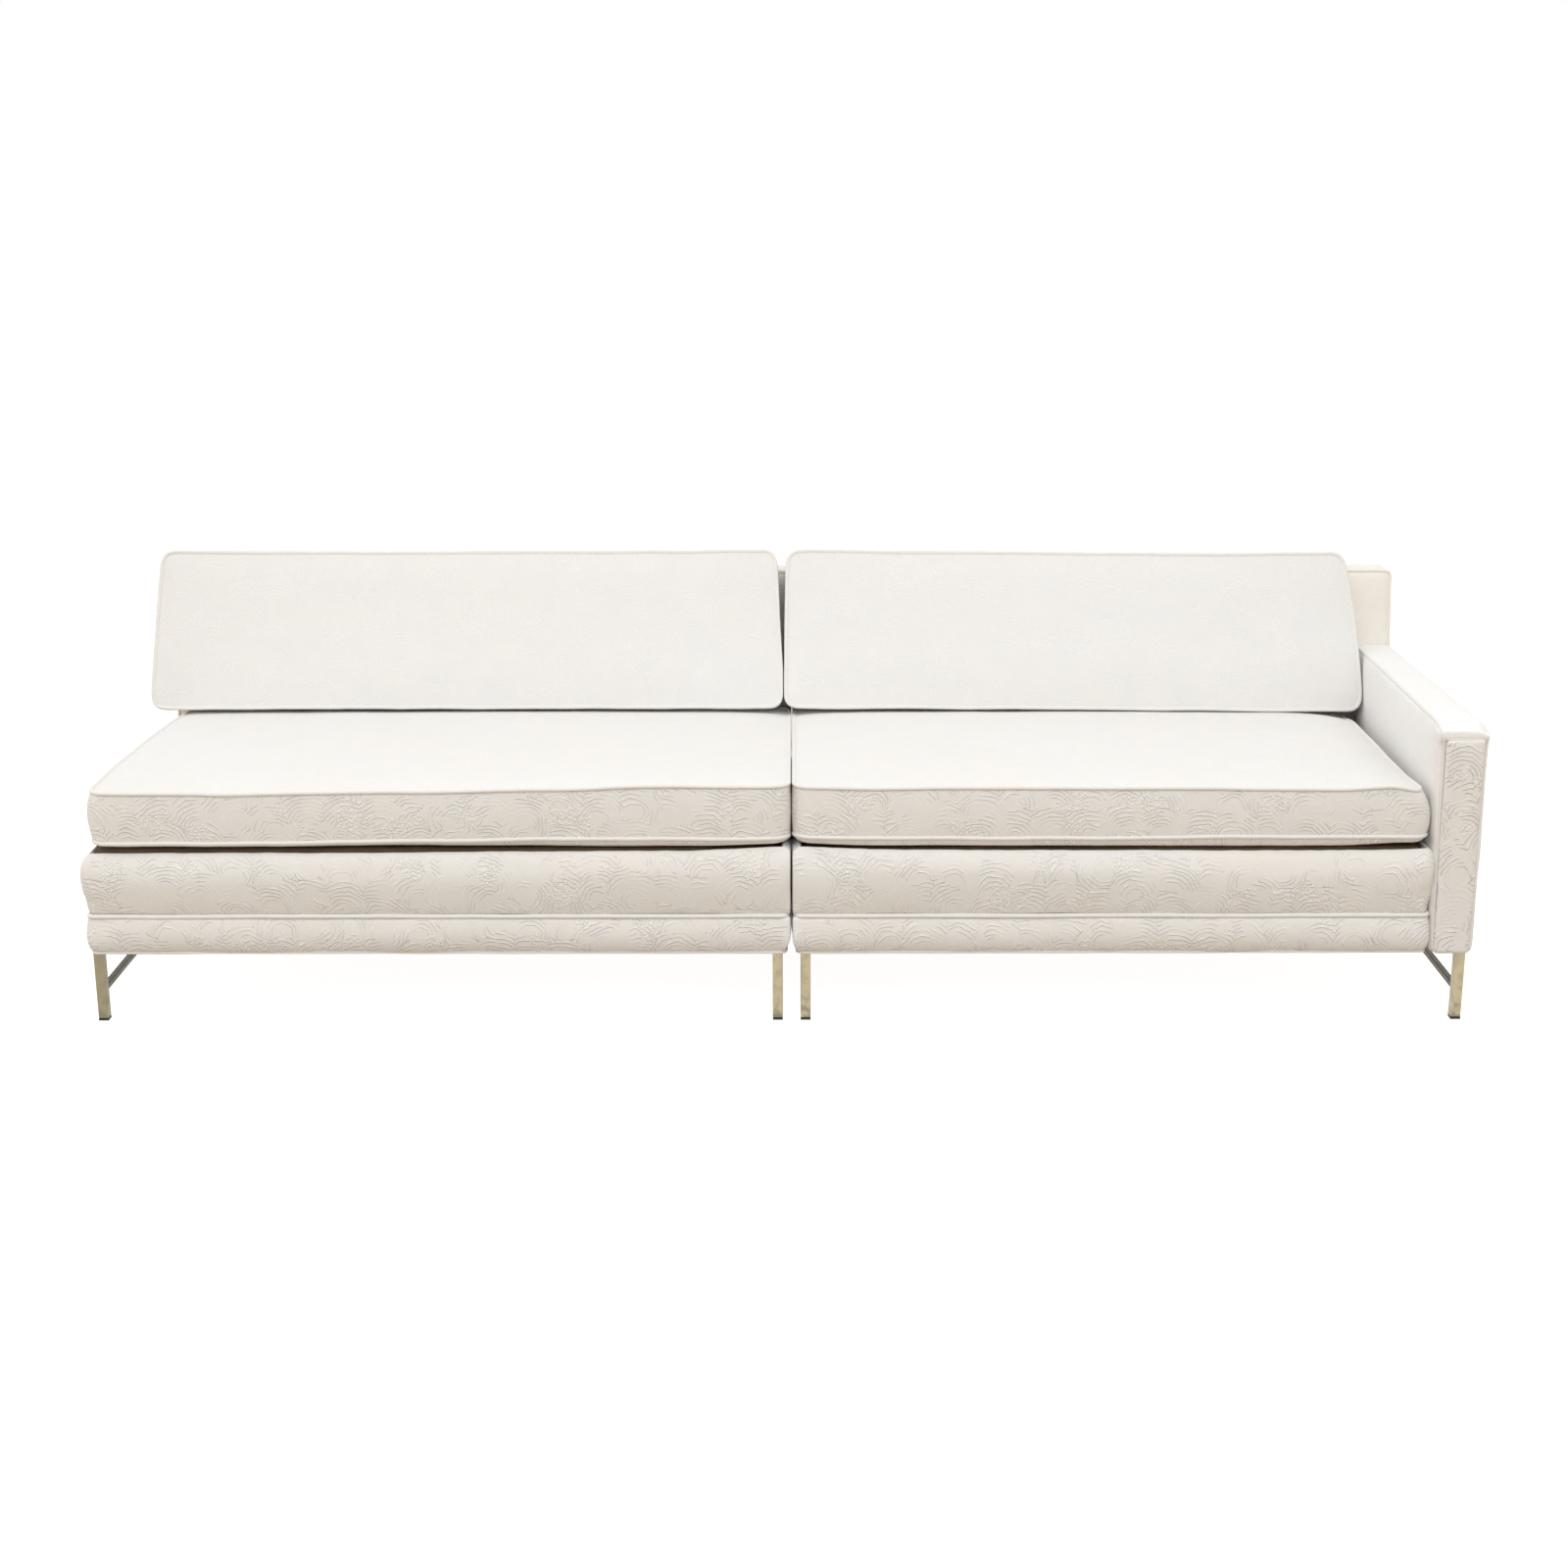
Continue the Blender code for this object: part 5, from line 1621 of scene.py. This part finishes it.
class SOFA_OT_arm(bpy.types.Operator):
    """Make the track arm's cover and front panel with their welts"""

    bl_idname = "sofa.arm"
    bl_label = "Arm"

    def execute(self, context):
        settings = settings_of(context)
        padding = settings.padding
        facing = fabric_material("Arm panel fabric", settings.fabric, motif=PANEL_MOTIF)
        # Painted light: the arm's cover is a lighter copy of the cloth
        wear_and_painted_light = fabric_material("Arm fabric", settings.fabric, FAINT_MOTIF, ARM_PAINTED_LIGHT)
        cord = fabric_material("Welt fabric", settings.fabric, motif=0)
        low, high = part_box("arm_unit_arm_cover")
        panel_low, panel_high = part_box("arm_unit_arm_front_panel")
        deck_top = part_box("arm_unit_deck_pad")[1].z
        back_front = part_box("arm_unit_back_cover")[0].y
        lean = (low.x - panel_low.x) / (high.z - panel_high.z)
        left_of = lambda z: low.x + (z - high.z) * lean
        rear_top = back_front + (high.z - deck_top) * BACK_SLOPE - GAP
        front, foot, top = panel_low.y, low.z + GAP, panel_high.z
        outline = [
            (front, low.z), (front, high.z), (rear_top, high.z),
            (back_front - GAP, deck_top), (high.y, deck_top), (high.y, low.z),
        ]
        cover = prism(
            "arm_unit_arm_cover_dressed", outline, left_of, high.x, padding.edge_round,
            segments=4, above=deck_top + GAP,
        )
        remesh(cover, padding.step * ARM_FINENESS, 2)
        self.fill_out(cover, low, high, top, left_of)
        roughen(cover, *ARM_UNEVEN)
        swell([cover], padding.pressure, padding.swell)
        box_uvs(cover)
        subdivide(cover)
        dress(cover, "arm_section", wear_and_painted_light, ("arm_unit_arm_cover",), 0.7)
        panel = prism(
            "arm_unit_arm_front_panel_dressed", slab(front - PANEL_PROUD, panel_high.y, foot, top),
            lambda z: left_of(z) + PANEL_SEAM, high.x - PANEL_SEAM, PANEL_EDGE, segments=2,
        )
        remesh(panel, padding.step * PANEL_FINENESS, 1)
        roughen(panel, *PANEL_UNEVEN)
        box_uvs(panel)
        subdivide(panel)
        dress(panel, "arm_section", facing, ("arm_unit_arm_front_panel",), 0.5)
        tree = surface_of(cover)
        radius = settings.fabric.welt_radius * ARM_WELT_SHARE
        seam = PANEL_SEAM / 2
        inner_run = [
            (left_of(low.z) + seam, front, foot), (left_of(top) + seam, front, top),
            (left_of(high.z) - ARM_INNER_FILL * ARM_WELT_REACH, front + ARM_WELT_FRONT, high.z),
            (left_of(high.z), rear_top - ARM_WELT_REAR, high.z),
        ]
        under = top - PANEL_WELT_FALL
        panel_run = [
            (left_of(top) + 3 * seam, front, under), (high.x - seam, front, under),
            (high.x - seam, front, foot),
        ]
        for name, corners, rounding, rise, share in (
            ("arm_unit_arm_inner_welt", inner_run, ARM_WELT_ROUND, radius * 0.1, 1),
            ("arm_unit_arm_panel_welt", panel_run, PANEL_WELT_ROUND, -radius * 0.2, PANEL_WELT_SHARE),
        ):
            path = smooth_path(snapped(polyline(corners, rounding), tree, rise), False, 3)
            dress(welt(name, path, radius * share, False), "arm_section", cord)
        return {"FINISHED"}

    def fill_out(self, cover, low, high, panel_top, left_of):
        """Fill the arm's inner face towards its front, round its top and sink the panel's bed."""
        values = positions(cover.data)
        for value in values:
            x, y, z = value
            inward = smooth_share((ARM_MIDDLE - x) / ARM_MIDDLE_WIDTH)
            outward = smooth_share((x - ARM_MIDDLE) / ARM_MIDDLE_WIDTH)
            forward = max(0.0, (ARM_FILL_REAR - y) / (ARM_FILL_REAR - low.y))
            upward = max(0.0, (z - low.z) / (high.z - low.z))
            filling = ARM_INNER_LEAST + ARM_INNER_FILL * upward ** 1.5
            value[0] += ARM_OUTER_FILL * outward - inward * forward * filling
            roll = smooth_share((low.y + ARM_ROLL - y) / ARM_ROLL)
            roll *= max(0.0, z - panel_top) / (high.z - panel_top)
            edge = smooth_share((x - high.x + ARM_EDGE_WIDTH) / ARM_EDGE_WIDTH) ** 2
            edge *= smooth_share((z - high.z + ARM_EDGE_WIDTH) / ARM_EDGE_WIDTH)
            value[2] -= ARM_ROLL_DROP * roll ** 2 + ARM_EDGE_FALL * edge * (1 + roll)
            on_panel = left_of(z) + PANEL_SEAM < x < high.x - PANEL_SEAM and z < panel_top
            if on_panel and y < low.y + PANEL_BED:
                value[1] = low.y + PANEL_BED
        set_positions(cover.data, values)


# Deck pads and dust covers: edges and unevenness of the pads, faces and sag of the sheets
DECK_EDGE = 0.006
DECK_COARSENESS = 1.2
DECK_UNEVEN = (0.10, 0.001, 8.0)
SHEET_STEP = 0.03
SHEET_SAG = 0.0025
SHEET_SAG_RATE = 6
SHEET_RIPPLE = 0.0004
SHEET_WAVES = 18


class SOFA_OT_linings(bpy.types.Operator):
    """Make the deck pads over the springs and the dust covers below them"""

    bl_idname = "sofa.linings"
    bl_label = "Deck and Dust Covers"

    def execute(self, context):
        settings = settings_of(context)
        # Painted shade: the deck cloth is dark, so the gaps under the seat cushions look shaded
        deck = lining_material("Deck cloth", tuple(settings.frame.lining), (1.6, 1.5, 1.4))
        cambric = lining_material("Dust cover cloth", (0.02, 0.02, 0.021), (1.5, 1.5, 1.5))
        for unit in UNITS:
            node = unit + "_deck_pad"
            low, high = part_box(node)
            outline = slab(low.y, high.y, low.z, high.z)
            item = prism(
                node + "_dressed", outline, lambda z, left=low.x: left, high.x, DECK_EDGE, segments=2
            )
            remesh(item, settings.padding.step * DECK_COARSENESS, 2)
            roughen(item, *DECK_UNEVEN)
            box_uvs(item)
            dress(item, SECTION_BODY[unit], deck, (node,), 0.5)
            self.add_dust_cover(unit, cambric)
        return {"FINISHED"}

    def add_dust_cover(self, unit, material):
        """Thin sheet stapled under the rails, sagging a little between them."""
        node = unit + "_dust_cover"
        low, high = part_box(node)
        size = high - low
        columns, rows = round(size.x / SHEET_STEP), round(size.y / SHEET_STEP)
        points, faces, uvs = [], [], []
        for j in range(rows + 1):
            for i in range(columns + 1):
                u, v = i / columns, j / rows
                sag = SHEET_SAG * min(1.0, SHEET_SAG_RATE * min(u, 1 - u, v, 1 - v))
                flat = Vector((low.x + size.x * u, low.y + size.y * v, high.z - sag))
                ripple = SHEET_RIPPLE * noise.noise(flat * SHEET_WAVES)
                points.append(flat + Vector((0, 0, ripple)))
        for j in range(rows):
            for i in range(columns):
                first = j * (columns + 1) + i
                face = (first + columns + 1, first + columns + 2, first + 1, first)
                faces.append(face)
                uvs += [points[corner][:2] for corner in face]
        item = new_piece(node + "_dressed", points, faces, uvs)
        dress(item, SECTION_BODY[unit], material, (node,))


# Legs and stretchers that are darker and duller than the bright brass, as shares of its colour; the left
# legs' darker brass is painted shade
LEFT_LEG_SHADE = 0.64
DARK_BRASS = 0.24
DARK_TARNISH = 0.45


class SOFA_OT_frame_finish(bpy.types.Operator):
    """Finish the wood, brass, springs and glides of the frame"""

    bl_idname = "sofa.frame_finish"
    bl_label = "Frame Finishes"

    def execute(self, context):
        frame = settings_of(context).frame
        brass, tarnish = tuple(frame.brass), tuple(frame.tarnish)
        shaded_brass, dark = (tuple(part * share for part in brass) for share in (LEFT_LEG_SHADE, DARK_BRASS))
        dark_dull = tuple(part * DARK_TARNISH for part in tarnish)
        steel, rust = (0.33, 0.34, 0.35), (0.16, 0.13, 0.11)
        upright, along = (900, 900, 9), (900, 9, 900)
        # The first pattern that fits a node gives its finish, and wood is the rest
        finishes = (
            # Painted shade: the armless unit's left legs take a darker copy of the brass
            ("armless_leg_*_left", metal_material("Old leg brass", shaded_brass, tarnish, upright, (0.3, 0.42))),
            ("*_leg_*", metal_material("Leg brass", brass, tarnish, upright, (0.22, 0.38))),
            ("*_stretcher_*", metal_material("Stretcher brass", dark, dark_dull, along, (0.3, 0.45))),
            ("*_springs*", metal_material("Spring steel", steel, rust, (90, 90, 90), (0.35, 0.5))),
            ("*_glide_*", plastic_material()),
        )
        woods = {axis: wood_material(axis, tuple(frame.wood)) for axis in "XYZ"}
        for name, node in FRAME["nodes"].items():
            if node.hide_render:
                continue
            low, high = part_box(name)
            size = high - low
            wood = woods["XYZ"[max(range(3), key=lambda axis: size[axis])]]
            material = next((finish for pattern, finish in finishes if fnmatch(name, pattern)), wood)
            for slot in node.material_slots:
                slot.material = material
        return {"FINISHED"}


# Floor: its own colour, which tints the light it sends up, and the white that the camera sees
FLOOR_COLOUR = (0.40, 0.31, 0.21, 1)
FLOOR_GLOW = 0.95
WHITE = (1, 1, 1, 1)

# Lamps: place, target and side of the square
LAMPS = {
    "overhead": ((0.6, -2.3, 3.2), (0, 0, 0.4), 3.4),
    "side": ((-4.2, -1.6, 2.0), (0.9, 0, 0.5), 2.4),
}


class SOFA_OT_stage(bpy.types.Operator):
    """Make the pale floor, the soft lights and the camera"""

    bl_idname = "sofa.stage"
    bl_label = "Stage"

    def execute(self, context):
        stage = settings_of(context).stage
        scene = context.scene
        scene.view_settings.view_transform = "Standard"
        self.add_floor(stage)
        self.add_world(scene, stage)
        for name, (place, target, side) in LAMPS.items():
            self.add_lamp(name, place, target, side, getattr(stage, name))
        self.add_camera(scene)
        return {"FINISHED"}

    def seen_white(self, tree):
        """1 on the rays that show the surroundings: camera, glossy and transmission."""
        path = add_node(tree, "ShaderNodeLightPath")
        seen = calculate(tree, "MAXIMUM", path.outputs["Is Camera Ray"], path.outputs["Is Glossy Ray"])
        return calculate(tree, "MAXIMUM", seen, path.outputs["Is Transmission Ray"])

    def add_floor(self, stage):
        """Wide pale floor that keeps the shadows."""
        half = stage.floor_size / 2
        corners = [(-half, -half, 0), (half, -half, 0), (half, half, 0), (-half, half, 0)]
        mesh = bpy.data.meshes.new("floor")
        mesh.from_pydata(corners, [], [(0, 1, 2, 3)])
        floor = bpy.data.objects.new("floor", mesh)
        bpy.context.scene.collection.objects.link(floor)
        material = bpy.data.materials.new("White floor")
        material.use_nodes = True
        tree = material.node_tree
        shader = tree.nodes["Principled BSDF"]
        shader.inputs["Base Color"].default_value = FLOOR_COLOUR
        shader.inputs["Roughness"].default_value = 0.9
        glow = add_node(tree, "ShaderNodeEmission", {"Color": WHITE})
        strength = calculate(tree, "MULTIPLY", self.seen_white(tree), FLOOR_GLOW)
        tree.links.new(strength, glow.inputs["Strength"])
        both = add_node(tree, "ShaderNodeAddShader", {0: shader.outputs[0], 1: glow.outputs[0]})
        tree.links.new(both.outputs[0], tree.nodes["Material Output"].inputs["Surface"])
        mesh.materials.append(material)

    def add_world(self, scene, stage):
        """Even light all round, and a white background."""
        world = bpy.data.worlds.new("Studio")
        world.use_nodes = True
        scene.world = world
        tree = world.node_tree
        shown = tree.nodes["Background"]
        shown.inputs["Color"].default_value = WHITE
        shown.inputs["Strength"].default_value = stage.surround
        white = add_node(tree, "ShaderNodeBackground", {"Color": WHITE, "Strength": 1.0})
        sockets = {0: self.seen_white(tree), 1: shown.outputs[0], 2: white.outputs[0]}
        both = add_node(tree, "ShaderNodeMixShader", sockets)
        tree.links.new(both.outputs[0], tree.nodes["World Output"].inputs["Surface"])

    def add_lamp(self, name, place, target, size, power):
        """Soft square lamp that faces a target."""
        lamp = bpy.data.lights.new(name, "AREA")
        lamp.shape = "SQUARE"
        lamp.size = size
        lamp.energy = power
        item = bpy.data.objects.new(name, lamp)
        item.location = place
        item.rotation_euler = (Vector(target) - Vector(place)).to_track_quat("-Z", "Y").to_euler()
        bpy.context.scene.collection.objects.link(item)

    def add_camera(self, scene):
        """Camera at the photograph's viewpoint."""
        forward = Vector((
            math.sin(CAMERA_YAW) * math.cos(CAMERA_PITCH),
            math.cos(CAMERA_YAW) * math.cos(CAMERA_PITCH),
            -math.sin(CAMERA_PITCH),
        ))
        right = Vector((math.cos(CAMERA_YAW), -math.sin(CAMERA_YAW), 0))
        up = right.cross(forward)
        across = right * math.cos(CAMERA_ROLL) + up * math.sin(CAMERA_ROLL)
        upright = up * math.cos(CAMERA_ROLL) - right * math.sin(CAMERA_ROLL)
        turn = Matrix((across, upright, -forward)).transposed().to_4x4()
        camera = bpy.data.cameras.new("camera")
        camera.lens = CAMERA_LENS
        camera.sensor_width = CAMERA_SENSOR
        item = bpy.data.objects.new("camera", camera)
        item.matrix_world = Matrix.Translation(CAMERA_PLACE) @ turn
        scene.collection.objects.link(item)
        scene.camera = item


OPERATORS = (
    SOFA_OT_stage,
    SOFA_OT_seat_cushions,
    SOFA_OT_back_cushions,
    SOFA_OT_bands,
    SOFA_OT_backs,
    SOFA_OT_arm,
    SOFA_OT_linings,
    SOFA_OT_frame_finish,
)


class SOFA_PT_dressing(bpy.types.Panel):
    """Sidebar panel of the sofa's pieces"""

    bl_idname = "SOFA_PT_dressing"
    bl_label = "Sectional Sofa"
    bl_space_type = "VIEW_3D"
    bl_region_type = "UI"
    bl_category = "Sofa"

    def draw(self, context):
        column = self.layout.column()
        for operator in OPERATORS:
            column.operator(operator.bl_idname)
        settings = settings_of(context)
        for name in ("fabric", "cushions", "padding", "frame", "stage"):
            group = getattr(settings, name)
            box = self.layout.box()
            box.label(text=name.capitalize())
            for prop in group.__annotations__:
                box.prop(group, prop)


CLASSES = (
    FabricSettings,
    CushionSettings,
    PaddingSettings,
    FrameSettings,
    StageSettings,
    SofaSettings,
    *OPERATORS,
    SOFA_PT_dressing,
)


def register():
    """Register the classes and the scene's settings."""
    for item in CLASSES:
        bpy.utils.register_class(item)
    bpy.types.Scene.sofa = PointerProperty(type=SofaSettings)


def unregister():
    """Take them out again."""
    del bpy.types.Scene.sofa
    for item in reversed(CLASSES):
        bpy.utils.unregister_class(item)


def main():
    """Make everything in order."""
    register()
    for operator in OPERATORS:
        family, name = operator.bl_idname.split(".")
        getattr(getattr(bpy.ops, family), name)()


if __name__ == "__main__":
    main()
